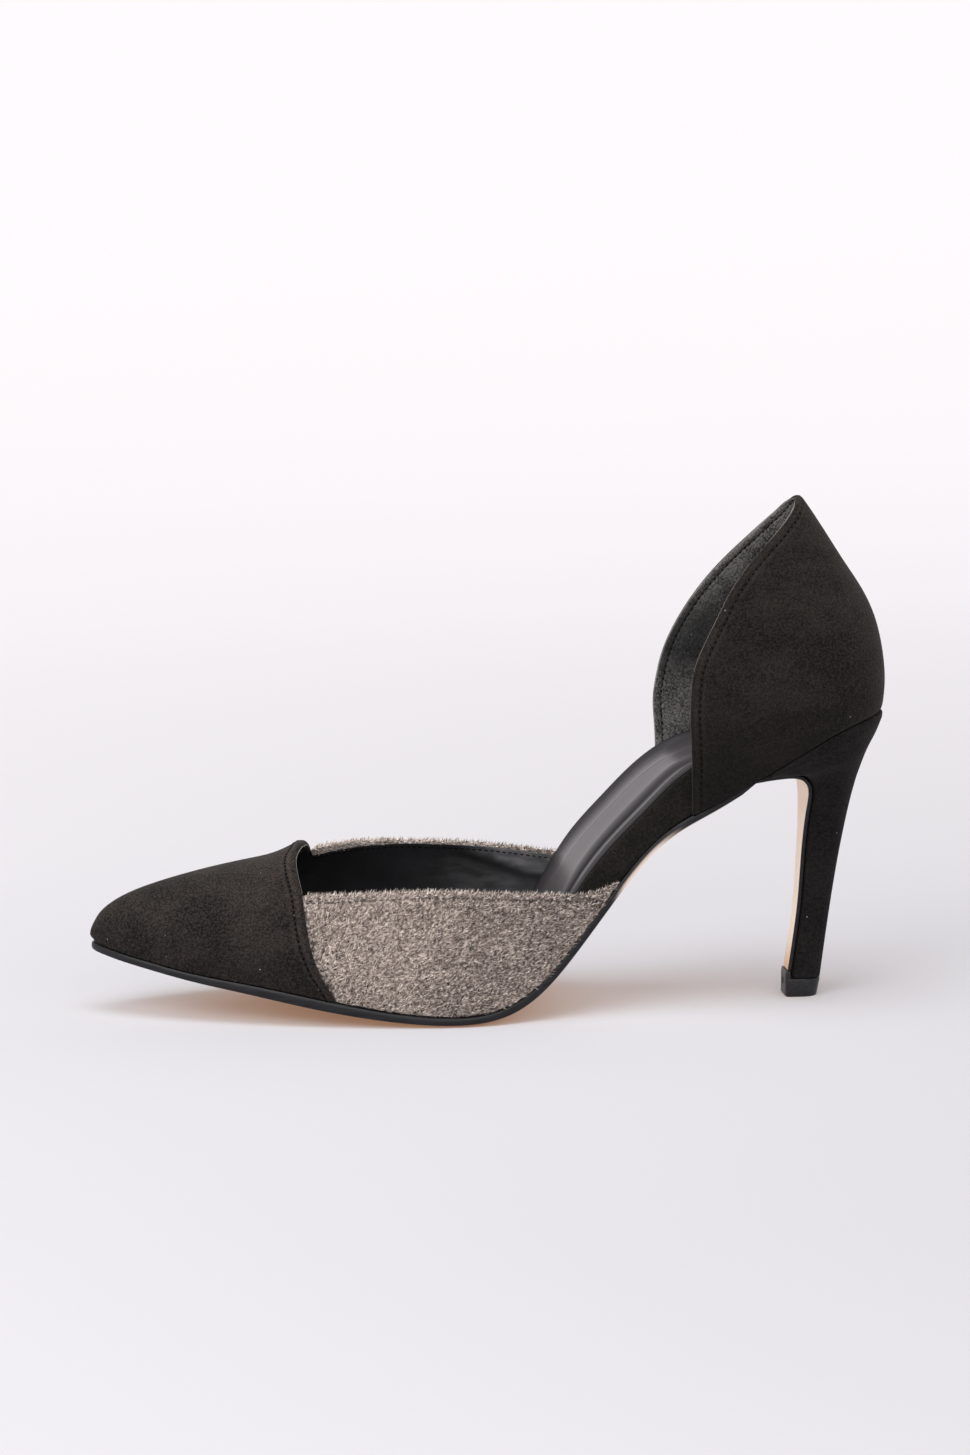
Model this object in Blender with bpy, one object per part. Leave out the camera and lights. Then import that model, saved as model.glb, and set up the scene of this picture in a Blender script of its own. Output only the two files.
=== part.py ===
"""Left shoe of a pair of two-piece stiletto pumps with a pointed toe, size EU 37.

Lengths are in millimetres until an object is placed, and then in metres.  A station is a
distance along the shoe from the toe tip.  The toe points to -X, the outer (lateral) side of
the foot is at -Y, and the floor is at z = 0.
"""

import bmesh
import bpy
import numpy as np

# Driving dimensions
LENGTH = 236.6          # outsole tip to the back of the counter
TOE_RIM = 0.8           # how far the outsole stands out around the forepart
GAP = 0.3               # between pieces that meet
CAP_WALL = 1.0          # toe cap leather
VAMP_WALL = 1.6         # vamp suede with its lining
VAMP_TAIL_WALL = 1.0    # the vamp is pared down where it ends at the waist
COUNTER_WALL = 2.0      # counter suede, stiffener and lining
FLAP_WALL = 1.2         # outsole where it runs down the breast of the heel
SOCK_WALL = 1.5         # sock lining at its border
SOCK_CROWN = 1.0        # extra height of the sock's padded middle
SOCK_BORDER = 1.2       # insole showing around the sock

# The last
SECTION_POWER = 2.1     # 2 is an ellipse, more is squarer
BULGE = 1.5             # upper standing out over the feather line
BULGE_STARTS = 20.0     # stations over which the bulge grows behind the toe
TOE_SOFTNESS = 7.0      # half width below which an inset fades out
TOE_SHIFT_REACH = 10.0  # stations over which an inset also moves the toe back
NOSE = 1.2              # toe rounding forward over the feather line
NOSE_REACH = 5.0        # stations over which the nose fades out
HEEL_CENTRE = 205.0     # station where the heel seat is widest
HEEL_BACK = 234.4       # back of the heel seat
HEEL_POWER = 2.2        # roundness of the seat in plan
CROWN_POWER = 2.5       # roundness of the outsole's underside from edge to edge
PEAK = 150.6            # top of the counter
CLOSING_REACH = 31.0    # stations ahead of its widest place over which the counter closes in

# Stations where pieces start and end
THROAT = 59.4           # front edge of the foot opening, under the cap's rear edge
VAMP_END = 152.5        # vamp's points at the waist
SHANK_END = 190.0       # outsole leaves the feather line for the heel

# Heel
BREAST_CENTRE = np.array([206.9, 62.9])     # of the round where the outsole turns down the breast
BREAST_RADIUS = 4.6
BREAST_POWER = 7        # squareness of the heel's front
SEAT_FRONT = 196.0      # front edge of the heel's seat
SEAT_POWER = 9          # squareness of the seat's front
SEAT_PROUD = 0.5        # seat edge standing out behind the counter
TIP_HEIGHT = 5.5        # top piece behind its lip
TIP_LIP = 7.8           # front lip that covers the end of the flap
TIP_LIP_FRONT = 206.65
TIP_LIP_DEPTH = 1.6
TIP_LIP_HALF = 4.2

# Fineness of the meshes
SIDES = ("lateral", "medial")
TOE_ROWS = 8            # rows that crowd towards the toe tip
TOE_END = 24.0          # station where they end
STEP = 6.0              # distance between the other rows
BAND_COLUMNS = 7        # vamp from feather line to topline
DOME_COLUMNS = 5        # vamp from the topline's height to the ridge
CAP_ROWS = 15
CAP_COLUMNS = 11
CAP_SPACING = 1.6       # power that crowds the cap's rows towards the tip
COUNTER_ROWS = 17
COUNTER_COLUMNS = 28
ACROSS = 8              # columns across sole, insole and sock
ROUND_ROWS = 8          # rows of the insole's round back
RING_COLUMNS = 28       # around the heel
CORNER_ANGLES = (90, 60, 30, 0)

MM = 0.001
MIDDLE = LENGTH / 2 - TOE_RIM


def spline(xs, ys):
    """Return a natural cubic curve through the points, straight past both ends."""
    h = np.diff(xs)
    slope = np.diff(ys) / h
    matrix = np.eye(len(xs))
    right = np.zeros(len(xs))
    for i in range(1, len(xs) - 1):
        matrix[i, i - 1:i + 2] = h[i - 1], 2 * (h[i - 1] + h[i]), h[i]
        right[i] = 6 * (slope[i] - slope[i - 1])
    bend = np.linalg.solve(matrix, right)
    first = slope[0] - bend[1] * h[0] / 6
    last = slope[-1] + bend[-2] * h[-1] / 6

    def curve(x):
        i = np.clip(np.searchsorted(xs, x) - 1, 0, len(h) - 1)
        inside = np.clip(x, xs[0], xs[-1])
        a = xs[i + 1] - inside
        b = inside - xs[i]
        y = (bend[i] * a**3 + bend[i + 1] * b**3) / (6 * h[i])
        y += (ys[i] / h[i] - bend[i] * h[i] / 6) * a
        y += (ys[i + 1] / h[i] - bend[i + 1] * h[i] / 6) * b
        return y + first * np.minimum(x - xs[0], 0) + last * np.maximum(x - xs[-1], 0)

    return curve


class Sections:
    """A table with a row for each section and a smooth curve through each named column."""

    def __init__(self, columns, rows, round_start=False):
        values = np.array(rows, float)
        self.places = values[:, 0]
        self.warp = np.sqrt if round_start else np.asarray
        along = self.warp(self.places)
        self.curves = {name: spline(along, values[:, k]) for k, name in enumerate(columns.split())}

    def at(self, column, place):
        """Value of a column at a place along the table."""
        return self.curves[column](self.warp(np.maximum(place, 0.0)))


# Feather outline (half widths), top of the outsole, how much higher the inner side of the arch is,
# the outsole's inset, edge and extra depth in the middle, and the insole's thickness, inset and
# rise towards its edge
SOLE = Sections("station lateral medial top lift sole_inset edge crown insole inset cup", [
    (0, 0, 0, 20.6, 0, -0.8, 2.2, 0, 3.0, 3.2, 0),
    (3, 5.3, 5.0, 19.7, 0, -0.8, 2.2, 0.2, 3.0, 3.2, 0),
    (8, 9.6, 9.0, 18.5, 0, -0.8, 2.2, 0.5, 3.0, 3.2, 0),
    (16, 14.2, 13.5, 16.7, 0, -0.8, 2.2, 0.9, 3.0, 3.2, 0),
    (28, 19.8, 19.2, 14.2, 0, -0.8, 2.3, 1.3, 3.0, 3.2, 0),
    (45, 26.0, 26.0, 11.6, 0, -0.8, 2.4, 1.6, 3.0, 3.2, 0),
    (65, 31.6, 31.8, 8.1, 0, -0.8, 2.5, 1.8, 3.0, 3.2, 0),
    (85, 35.2, 35.2, 4.7, 0, -0.8, 2.0, 1.8, 3.0, 3.2, 0),
    (102, 36.3, 35.0, 3.1, 0, -0.7, 1.6, 1.8, 3.0, 3.2, 0),
    (115, 35.4, 32.6, 3.9, 0, -0.2, 1.6, 2.1, 3.2, 3.2, 0),
    (123, 33.6, 30.2, 6.9, 0.6, 0.4, 1.7, 2.3, 5.0, 3.2, 0),
    (132, 31.0, 27.2, 13.8, 2.0, 1.0, 1.9, 2.5, 9.5, 3.2, 0),
    (142, 28.4, 24.6, 25.3, 3.4, 1.3, 2.0, 2.6, 13.4, 3.0, 0),
    (153, 26.0, 22.8, 39.2, 3.6, 1.3, 2.0, 2.6, 12.4, 2.5, 0),
    (162, 24.4, 22.1, 49.3, 3.4, 1.3, 1.9, 2.6, 11.4, 1.4, 0),
    (171, 23.4, 22.0, 56.2, 2.7, 1.3, 1.8, 2.4, 11.8, 2.6, 1.1),
    (182, 23.2, 22.5, 61.8, 1.2, 2.0, 1.8, 1.6, 11.0, 2.6, 4.2),
    (194, 23.6, 23.5, 68.3, 0, 3.6, 1.5, 0.4, 8.8, 2.6, 6.5),
    (205, 24.0, 24.0, 74.9, 0, 5.0, 1.2, 0, 6.8, 2.6, 7.0),
    (220, 24.0, 24.0, 83.0, 0, 5.0, 1.2, 0, 4.8, 2.6, 7.0),
    (235, 24.0, 24.0, 86.8, 0, 5.0, 1.2, 0, 4.2, 2.6, 7.0),
], round_start=True)

# Height of the last's ridge: the toe cap's outline, then the instep that the vamp leans to
RIDGE = Sections("station height", [
    (0, 24.8), (1.8, 29.2), (4.8, 31.8), (10.7, 35.0), (19.6, 38.1), (31.4, 41.2), (46.2, 44.2),
    (55.1, 46.4), (61, 49.2), (80, 58), (100, 69), (120, 79), (152, 92),
], round_start=True)

# Height of the vamp's topline
TOPLINE = Sections("station lateral medial", [
    (59.4, 39.2, 43.0),
    (75, 39.4, 44.4),
    (90, 39.4, 44.8),
    (105, 39.2, 44.5),
    (118, 38.8, 43.6),
    (132, 37.8, 42.2),
    (140, 37.2, 41.3),
    (146, 37.7, 41.5),
    (152.5, 40.0, 43.7),
])

# Rear edge of the toe cap, from the feather line (0) around to the ridge (1)
CAP_EDGE = Sections("around station", [
    (0, 69.5), (0.08, 65.6), (0.2, 62.4), (0.35, 60.8), (0.55, 60.1), (0.75, 60.4), (1, 61.6)])

# Counter, level by level: its back, where the level is widest, half width there, how much the
# sides close in again towards the front, and the two front edges
COUNTER = Sections("level back centre half close lateral medial", [
    (56, 233.2, 205, 23.9, 0.04, 174.5, 170.2),
    (72, 233.8, 205, 24.3, 0.04, 174.4, 170.0),
    (80, 234.0, 205, 24.8, 0.04, 174.1, 169.7),
    (88, 234.5, 205, 25.2, 0.05, 173.7, 169.9),
    (95, 235.0, 205, 25.3, 0.05, 173.9, 171.1),
    (101, 234.7, 205, 25.0, 0.06, 174.6, 172.6),
    (108, 233.6, 204, 24.3, 0.06, 177.0, 175.3),
    (115.5, 231.7, 203, 22.8, 0.05, 180.8, 179.3),
    (123, 228.2, 201, 20.4, 0.03, 184.9, 184.2),
    (131, 223.0, 199, 17.4, 0, 190.6, 190.5),
    (137, 219.1, 198, 14.9, 0, 196.2, 195.8),
    (143, 215.2, 196, 12.8, 0, 202.2, 201.4),
    (147, 212.5, 194, 11.6, 0, 205.9, 205.2),
    (149.6, 210.6, 192, 11.0, 0, 208.1, 207.7),
    (150.6, 209.8, 191, 10.8, 0, 209.3, 209.2),
])

# Heel stem, ring by ring from the top piece up: front and back edge with their heights, half
# width, and how far back along the ring it is widest
STEM = Sections("ring front front_height back back_height half centre", [
    (0, 208.5, 5.8, 216.4, 5.8, 4.7, 0.45),
    (1, 209.8, 17.4, 217.7, 17.6, 4.6, 0.45),
    (2, 211.2, 29.6, 219.3, 30.0, 4.7, 0.45),
    (3, 211.9, 41.8, 221.2, 42.2, 5.2, 0.45),
    (4, 212.5, 51.6, 223.1, 52.0, 6.4, 0.45),
    (5, 212.9, 58.0, 224.5, 58.8, 8.6, 0.45),
])
# The same where the heel spreads, at each angle round the breast's corner
FLARE = Sections("angle back back_height half centre", [
    (0, 225.6, 63.6, 11.2, 0.45),
    (30, 226.6, 67.2, 13.2, 0.44),
    (60, 228.1, 71.2, 15.6, 0.42),
    (90, 230.1, 75.2, 18.6, 0.39),
])
# The same under the seat's edge, from the thin front lip to the back
SEAT_EDGE = Sections("ring front front_height back back_height half centre", [
    (0, 196.2, 68.75, 233.4, 81.6, 22.4, 0.28),
    (1, 196.1, 68.85, 234.8, 85.2, 23.7, 0.24),
])

# Outer face of the outsole beyond the shank: under the heel's lip, then down the breast
FLAP_LIP = Sections("station height half", [(194.5, 67.0, 17.0), (199, 67.25, 14.4), (203, 67.45, 12.8)])
FLAP_CORNER = Sections("angle half", [(0, 10.0), (45, 11.6), (90, 12.2)])
FLAP_BREAST = Sections("drop height station half", [
    (0, 58.0, 211.4, 7.7),
    (1, 51.6, 211.0, 5.5),
    (2, 41.8, 210.4, 4.4),
    (3, 29.6, 209.7, 3.9),
    (4, 17.4, 208.3, 3.8),
    (5, 8.1, 206.95, 3.9),
])

# Top piece, level by level
TIP = Sections("level front back half", [(0, 206.4, 215.4, 4.8), (TIP_HEIGHT, 206.5, 216.5, 4.9)])


def rows_between(first, last):
    """Return evenly spaced stations no more than a step apart, with both ends."""
    return np.linspace(first, last, int(np.ceil((last - first) / STEP)) + 1)


FOREPART = np.concatenate([TOE_END * (np.arange(TOE_ROWS) / TOE_ROWS) ** 2, rows_between(TOE_END, THROAT)])
QUARTERS = rows_between(THROAT, VAMP_END)[1:]
WAIST = rows_between(VAMP_END, HEEL_CENTRE)[1:]


def toe_shift(station, inset):
    """How far an inset piece starts behind the toe tip."""
    return inset * np.exp(-station / TOE_SHIFT_REACH)


def half_width(station, side, inset):
    """Half width of the feather outline, set in by a distance."""
    if station <= HEEL_CENTRE:
        width = SOLE.at(side, station)
        return width - inset * np.tanh(width / TOE_SOFTNESS)
    along = min((station - HEEL_CENTRE) / (HEEL_BACK - inset - HEEL_CENTRE), 1.0)
    widest = SOLE.at(side, HEEL_CENTRE) - inset
    return widest * (1 - along**HEEL_POWER) ** (1 / HEEL_POWER)


def side_of(across):
    """Side of the foot that a place across belongs to."""
    return "medial" if across > 0 else "lateral"


def sole_top(station, y):
    """Height of the outsole's top, which twists up to the inner side at the arch."""
    lateral = SOLE.at("lateral", station)
    width = lateral + SOLE.at("medial", station)
    across = (y + lateral) / width if width > 0 else 0.0
    return SOLE.at("top", station) + SOLE.at("lift", station) * np.clip(across, 0, 1)


def around_at(station, side, height, inset):
    """Place around the section, 0 at the feather line and 1 on the ridge, of a height."""
    base = SOLE.at("top", station) + (SOLE.at("lift", station) if side == "medial" else 0)
    rise = (height - base) / (RIDGE.at("height", station) - inset - base)
    return 2 / np.pi * np.arcsin(np.clip(rise, 0, 1) ** (SECTION_POWER / 2))


def upper_point(station, side, around, inset):
    """Point of the upper's outer surface, set in by a distance."""
    angle = np.pi / 2 * around
    spread = np.cos(angle) ** (2 / SECTION_POWER) if around < 1 else 0.0
    climb = np.sin(angle) ** (2 / SECTION_POWER)
    nose = NOSE * np.sin(np.pi * climb) * np.exp(-station / NOSE_REACH)
    place = station + toe_shift(station, inset) - nose
    bulge = BULGE * (1 - np.exp(-((station / BULGE_STARTS) ** 2))) * np.sin(2 * angle) ** 2
    half = half_width(station, side, inset) * spread + bulge * np.cos(angle)
    y = half if side == "medial" else -half
    base = sole_top(place, y) + GAP
    return place, y, base + (RIDGE.at("height", station) - inset - base) * climb


def vamp_rows(side, inset):
    """Rows of the vamp: station, places around the section and wall.

    The domed toe reaches the ridge.  From the throat back only a band up to the topline is left.
    """
    corners = [around_at(THROAT, name, TOPLINE.at(name, THROAT), inset) for name in SIDES]
    shared = sum(corners) / len(corners)
    for station in FOREPART:
        corner = shared + (corners[SIDES.index(side)] - shared) * station / THROAT
        dome = np.linspace(corner, 1, DOME_COLUMNS + 1)[1:]
        yield station, np.concatenate([np.linspace(0, corner, BAND_COLUMNS + 1), dome]), VAMP_WALL
    for station in QUARTERS:
        top = around_at(station, side, TOPLINE.at(side, station), inset)
        wall = np.interp(station, [THROAT, VAMP_END], [VAMP_WALL, VAMP_TAIL_WALL])
        yield station, np.linspace(0, top, BAND_COLUMNS + 1), wall


def cap_rows():
    """Rows of the toe cap: for each place around the section its station."""
    around = np.linspace(0, 1, CAP_COLUMNS + 1)
    for row in range(CAP_ROWS + 1):
        yield around, CAP_EDGE.at("station", around) * (row / CAP_ROWS) ** CAP_SPACING


def join_rows(rows, side):
    """Faces between rows of point numbers, each as long as the one before it or shorter."""
    faces = [
        [low[k], high[k], high[k + 1], low[k + 1]]
        for low, high in zip(rows, rows[1:]) for k in range(len(high) - 1)]
    return faces if side == "lateral" else [face[::-1] for face in faces]


def vamp_sheet():
    """Outer and inner points and the faces of the vamp, which lies inside the cap."""
    inset = CAP_WALL + GAP
    outer, inner, faces = [], [], []
    for side in SIDES:
        rows = []
        for station, places, wall in vamp_rows(side, inset):
            rows.append(range(len(outer), len(outer) + len(places)))
            outer += [upper_point(station, side, around, inset) for around in places]
            inner += [upper_point(station, side, around, inset + wall) for around in places]
        faces += join_rows(rows, side)
    return np.array(outer), np.array(inner), faces


def cap_sheet():
    """Outer and inner points and the faces of the toe cap, laid over the vamp's domed toe."""
    outer, inner, faces = [], [], []
    for side in SIDES:
        rows = []
        for places, along in cap_rows():
            rows.append(range(len(outer), len(outer) + len(places)))
            outer += [upper_point(s, side, around, 0.0) for around, s in zip(places, along)]
            inner += [upper_point(s, side, around, CAP_WALL) for around, s in zip(places, along)]
        faces += join_rows(rows, side)
    return np.array(outer), np.array(inner), faces


def grid_faces(rows, columns):
    """Faces of a grid whose points run row by row."""
    width = columns + 1
    lines = [range(r * width, (r + 1) * width) for r in range(rows + 1)]
    return join_rows(lines, "lateral")


def grid_normals(grid):
    """Unit normals of a grid of points, rows by columns."""
    normals = np.cross(np.gradient(grid, axis=1), np.gradient(grid, axis=0))
    return normals / np.linalg.norm(normals, axis=2, keepdims=True)


def counter_level(level):
    """Even points along a level of the counter, from its outer front edge round to the inner one."""
    back, centre, half, close = (COUNTER.at(name, level) for name in ("back", "centre", "half", "close"))
    bend = np.sin(np.linspace(0, np.pi / 2, 2 * COUNTER_COLUMNS))

    def edge(side):
        front = COUNTER.at(side, level)
        along = front + (back - front) * bend
        ahead = np.maximum(centre - along, 0) / CLOSING_REACH
        behind = np.clip((along - centre) / (back - centre), 0, 1)
        reach = half * (1 - close * ahead**2) * (1 - behind**HEEL_POWER) ** (1 / HEEL_POWER)
        return np.stack([along, reach if side == "medial" else -reach], axis=1)

    line = np.concatenate([edge("lateral"), edge("medial")[-2::-1]])
    run = np.concatenate([[0], np.cumsum(np.linalg.norm(np.diff(line, axis=0), axis=1))])
    even = np.linspace(0, run[-1], COUNTER_COLUMNS + 1)
    return np.stack([np.interp(even, run, line[:, 0]), np.interp(even, run, line[:, 1])], axis=1)


def counter_lower_edge():
    """Height of the counter's lower edge in each column, where it meets sole and heel."""
    lower = np.full(COUNTER_COLUMNS + 1, SOLE.at("top", HEEL_CENTRE))
    for _ in range(12):
        for k, level in enumerate(lower):
            lower[k] = sole_top(*counter_level(level)[k]) + GAP
    return lower


def counter_sheet():
    """Outer and inner points and the faces of the counter, up to its peak."""
    lower = counter_lower_edge()
    grid = np.zeros((COUNTER_ROWS + 1, COUNTER_COLUMNS + 1, 3))
    for row in range(COUNTER_ROWS + 1):
        levels = lower + (PEAK - lower) * np.sin(np.pi / 2 * row / COUNTER_ROWS)
        for k, level in enumerate(levels):
            grid[row, k] = (*counter_level(level)[k], level)
    inner = grid - COUNTER_WALL * grid_normals(grid)
    return grid.reshape(-1, 3), inner.reshape(-1, 3), grid_faces(COUNTER_ROWS, COUNTER_COLUMNS)


def insole_top(station, y):
    """Height of the insole's top over the outsole, cupped around the heel."""
    behind = max(station - HEEL_CENTRE, 0) / (HEEL_BACK - HEEL_CENTRE)
    across = y / SOLE.at("lateral", HEEL_CENTRE)
    return GAP + SOLE.at("insole", station) + SOLE.at("cup", station) * (across**2 + behind**2)


def footbed_rows(border):
    """Points in plan of a piece that lies in the shoe, a border inside the insole's edge.

    Each has its station, place along, place across, and a pad from 0 at the edge to 1.
    """
    back = HEEL_BACK - SOLE.at("inset", HEEL_BACK) - border
    turn = np.sin(np.pi / 2 * np.arange(1, ROUND_ROWS + 1) / ROUND_ROWS)
    for station in np.concatenate([FOREPART, QUARTERS, WAIST, HEEL_CENTRE + (back - HEEL_CENTRE) * turn]):
        inset = SOLE.at("inset", station) + border
        place = station + toe_shift(station, inset)
        for across in np.linspace(-1, 1, ACROSS + 1):
            half = half_width(station, side_of(across), inset)
            yield station, place, across * half, (1 - across**4) * np.tanh(half / TOE_SOFTNESS)


def insole_sheet():
    """Top and bottom points and the faces of the insole, which lies on the outsole and the heel."""
    top, bottom = [], []
    for station, place, y, _ in footbed_rows(0.0):
        floor = sole_top(place, y)
        top.append((place, y, floor + insole_top(station, y)))
        bottom.append((place, y, floor + GAP))
    return np.array(top), np.array(bottom), grid_faces(len(top) // (ACROSS + 1) - 1, ACROSS)


def sock_sheet():
    """Top and bottom points and the faces of the sock, which lies on the insole."""
    top, bottom = [], []
    for station, place, y, pad in footbed_rows(SOCK_BORDER):
        seat = sole_top(place, y) + insole_top(station, y) + GAP
        top.append((place, y, seat + SOCK_WALL + SOCK_CROWN * pad))
        bottom.append((place, y, seat))
    return np.array(top), np.array(bottom), grid_faces(len(top) // (ACROSS + 1) - 1, ACROSS)


def flap_path():
    """Outer face of the outsole under the heel's lip and down its breast: place, width, normal."""
    for station in FLAP_LIP.places:
        yield station, FLAP_LIP.at("height", station), FLAP_LIP.at("half", station), (0, 1)
    for angle in CORNER_ANGLES:
        normal = np.array([np.cos(np.radians(angle)), np.sin(np.radians(angle))])
        station, height = BREAST_CENTRE + BREAST_RADIUS * normal
        yield station, height, FLAP_CORNER.at("half", angle), normal
    for drop in FLAP_BREAST.places:
        station, height, half = (FLAP_BREAST.at(name, drop) for name in ("station", "height", "half"))
        yield station, height, half, (1, 0)


def outsole_sheet():
    """Top and bottom points and the faces of the outsole, with its flap down the heel's breast."""
    top, bottom = [], []
    places = np.linspace(-1, 1, ACROSS + 1)
    for station in [s for s in np.concatenate([FOREPART, QUARTERS, WAIST]) if s < SHANK_END]:
        inset = SOLE.at("sole_inset", station)
        place = station + toe_shift(station, inset)
        for across in places:
            y = across * half_width(station, side_of(across), inset)
            height = sole_top(place, y)
            depth = SOLE.at("edge", station) + SOLE.at("crown", station) * (1 - abs(across) ** CROWN_POWER)
            top.append((place, y, height))
            bottom.append((place, y, max(height - depth, 0.0)))
    for station, height, half, normal in flap_path():
        for y in places * half:
            bottom.append((station, y, height))
            top.append((station + FLAP_WALL * normal[0], y, height + FLAP_WALL * normal[1]))
    return np.array(top), np.array(bottom), grid_faces(len(top) // len(places) - 1, ACROSS)


def heel_ring(front, front_height, back, back_height, half, centre, power, on_seat=False):
    """Closed ring of the heel: flat in front, round behind, level or sloping up to the back.

    centre is the share of the ring's length where it is widest, and power the front's squareness.
    A ring on the seat takes its heights from the sole.
    """
    widest = front + centre * (back - front)
    ring = []
    for angle in 2 * np.pi * np.arange(RING_COLUMNS) / RING_COLUMNS:
        behind = np.cos(angle) > 0
        roundness = 2 / (HEEL_POWER if behind else power)
        reach = back - widest if behind else front - widest
        station = widest + reach * abs(np.cos(angle)) ** roundness
        y = half * np.sign(np.sin(angle)) * abs(np.sin(angle)) ** roundness
        slope = (back_height - front_height) * (station - front) / (back - front)
        ring.append((station, y, sole_top(station, y) if on_seat else front_height + slope))
    return ring


def heel_rings():
    """Rings of the heel from the top piece up to the seat."""
    names = ("front", "front_height", "back", "back_height", "half", "centre")
    halves = np.arange(2 * STEM.places[-1] + 1) / 2
    rings = [heel_ring(*(STEM.at(name, k) for name in names), BREAST_POWER) for k in halves]
    for angle in CORNER_ANGLES[::-1]:
        normal = np.array([np.cos(np.radians(angle)), np.sin(np.radians(angle))])
        front = BREAST_CENTRE + (BREAST_RADIUS + FLAP_WALL + GAP) * normal
        rest = (FLARE.at(name, angle) for name in names[2:])
        rings.append(heel_ring(*front, *rest, BREAST_POWER))
    for k in SEAT_EDGE.places:
        rings.append(heel_ring(*(SEAT_EDGE.at(name, k) for name in names), SEAT_POWER))
    back = HEEL_BACK + SEAT_PROUD
    centre = (HEEL_CENTRE - SEAT_FRONT) / (back - SEAT_FRONT)
    half = SOLE.at("lateral", HEEL_CENTRE)
    rings.append(heel_ring(SEAT_FRONT, 0, back, 0, half, centre, SEAT_POWER, on_seat=True))
    return rings


def loft(rings):
    """Closed solid through mirror-symmetric rings, with its two ends closed across."""
    count = len(rings[0])
    points = np.array([point for ring in rings for point in ring])
    faces = []
    for low in range(0, (len(rings) - 1) * count, count):
        for k in range(count):
            after = (k + 1) % count
            faces.append([low + k, low + after, low + count + after, low + count + k])
    for start in (0, (len(rings) - 1) * count):
        for k in range(count // 2):
            across = [start + k, start + k + 1, start + count - k - 1, start + (count - k) % count]
            faces.append(list(dict.fromkeys(across)))
    return points, faces


def tip_block():
    """Heel tip without its lip: a block rounded behind."""
    rings = []
    for level in TIP.places:
        front, back, half = (TIP.at(name, level) for name in ("front", "back", "half"))
        rings.append(heel_ring(front, level, back, level, half, STEM.at("centre", 0), SEAT_POWER))
    return loft(rings)


def tip_lip():
    """Thin block that stands up at the front of the heel tip."""
    front, back = TIP_LIP_FRONT, TIP_LIP_FRONT + TIP_LIP_DEPTH
    half = TIP_LIP_HALF
    corners = [(front, -half), (front, half), (back, half), (back, -half)]
    points = np.array([(*corner, level) for level in (TIP_HEIGHT / 2, TIP_LIP) for corner in corners])
    faces = [[0, 1, 2, 3], [4, 5, 6, 7]] + [[k, (k + 1) % 4, (k + 1) % 4 + 4, k + 4] for k in range(4)]
    return points, faces


def sheet_solid(outer, inner, faces):
    """Closed solid between two sheets with the same faces; points that coincide become one."""
    keys = {}
    first = [keys.setdefault(tuple(np.round(point, 6)), k) for k, point in enumerate(outer)]
    sheet = []
    for face in faces:
        ring = [first[k] for k in face]
        ring = [k for n, k in enumerate(ring) if k != ring[n - 1]]
        if len(set(ring)) >= 3:
            sheet.append(ring)
    edges = {(ring[n - 1], k) for ring in sheet for n, k in enumerate(ring)}
    count = len(outer)
    back = [[k + count for k in reversed(ring)] for ring in sheet]
    rim = [[b, a, a + count, b + count] for a, b in sorted(edges) if (b, a) not in edges]
    return np.concatenate([outer, inner]), sheet + back + rim


def material(name, colour, roughness):
    """Principled material of one piece."""
    made = bpy.data.materials.new(name)
    made.use_nodes = True
    shader = made.node_tree.nodes["Principled BSDF"]
    shader.inputs["Base Color"].default_value = (*colour, 1.0)
    shader.inputs["Roughness"].default_value = roughness
    shader.inputs["Metallic"].default_value = 0.0
    return made


def add_piece(name, solid, colour, roughness):
    """Make a named object from points in mm and faces, closed and facing out."""
    points, faces = solid
    mesh = bpy.data.meshes.new(name)
    mesh.from_pydata(((points - (MIDDLE, 0, 0)) * MM).tolist(), [], faces)
    work = bmesh.new()
    work.from_mesh(mesh)
    unused = [vertex for vertex in work.verts if not vertex.link_faces]
    bmesh.ops.delete(work, geom=unused, context="VERTS")
    bmesh.ops.remove_doubles(work, verts=work.verts, dist=1e-7)
    bmesh.ops.recalc_face_normals(work, faces=work.faces)
    work.to_mesh(mesh)
    work.free()
    mesh.shade_smooth()
    mesh.set_sharp_from_angle(angle=np.radians(40))
    mesh.materials.append(material(name, colour, roughness))
    piece = bpy.data.objects.new(name, mesh)
    bpy.context.scene.collection.objects.link(piece)
    return piece


def main():
    """Model the shoe from the floor up."""
    for old in list(bpy.data.objects):
        bpy.data.objects.remove(old, do_unlink=True)
    add_piece("outsole", sheet_solid(*outsole_sheet()), (0.62, 0.47, 0.33), 0.55)
    add_piece("insole", sheet_solid(*insole_sheet()), (0.02, 0.019, 0.018), 0.9)
    add_piece("sock", sheet_solid(*sock_sheet()), (0.03, 0.03, 0.032), 0.35)
    add_piece("vamp", sheet_solid(*vamp_sheet()), (0.27, 0.22, 0.195), 0.95)
    add_piece("toe_cap", sheet_solid(*cap_sheet()), (0.033, 0.027, 0.024), 0.9)
    add_piece("counter", sheet_solid(*counter_sheet()), (0.027, 0.023, 0.02), 0.9)
    add_piece("heel", loft(heel_rings()), (0.018, 0.015, 0.015), 0.9)
    tip = add_piece("top_piece", tip_block(), (0.02, 0.02, 0.022), 0.25)
    lip = add_piece("top_piece_lip", tip_lip(), (0.02, 0.02, 0.022), 0.25)
    lip.hide_render = True
    lip.display_type = "WIRE"
    joined = tip.modifiers.new("lip", "BOOLEAN")
    joined.operation = "UNION"
    joined.object = lip


main()
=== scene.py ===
"""Dressed scene of a left two-piece stiletto pump with a pointed toe.

Shapes are worked out in millimetres along the shoe: a station is the distance from the toe tip.
Meshes are placed in metres, with the toe at -X, the outer side of the foot at -Y and the floor at
z = 0.  Suede, linings, seams and edges follow the same tables as the solids that they stand for.
"""

import logging
from dataclasses import dataclass, field
from enum import Enum
from typing import Callable, Sequence, Union

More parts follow.
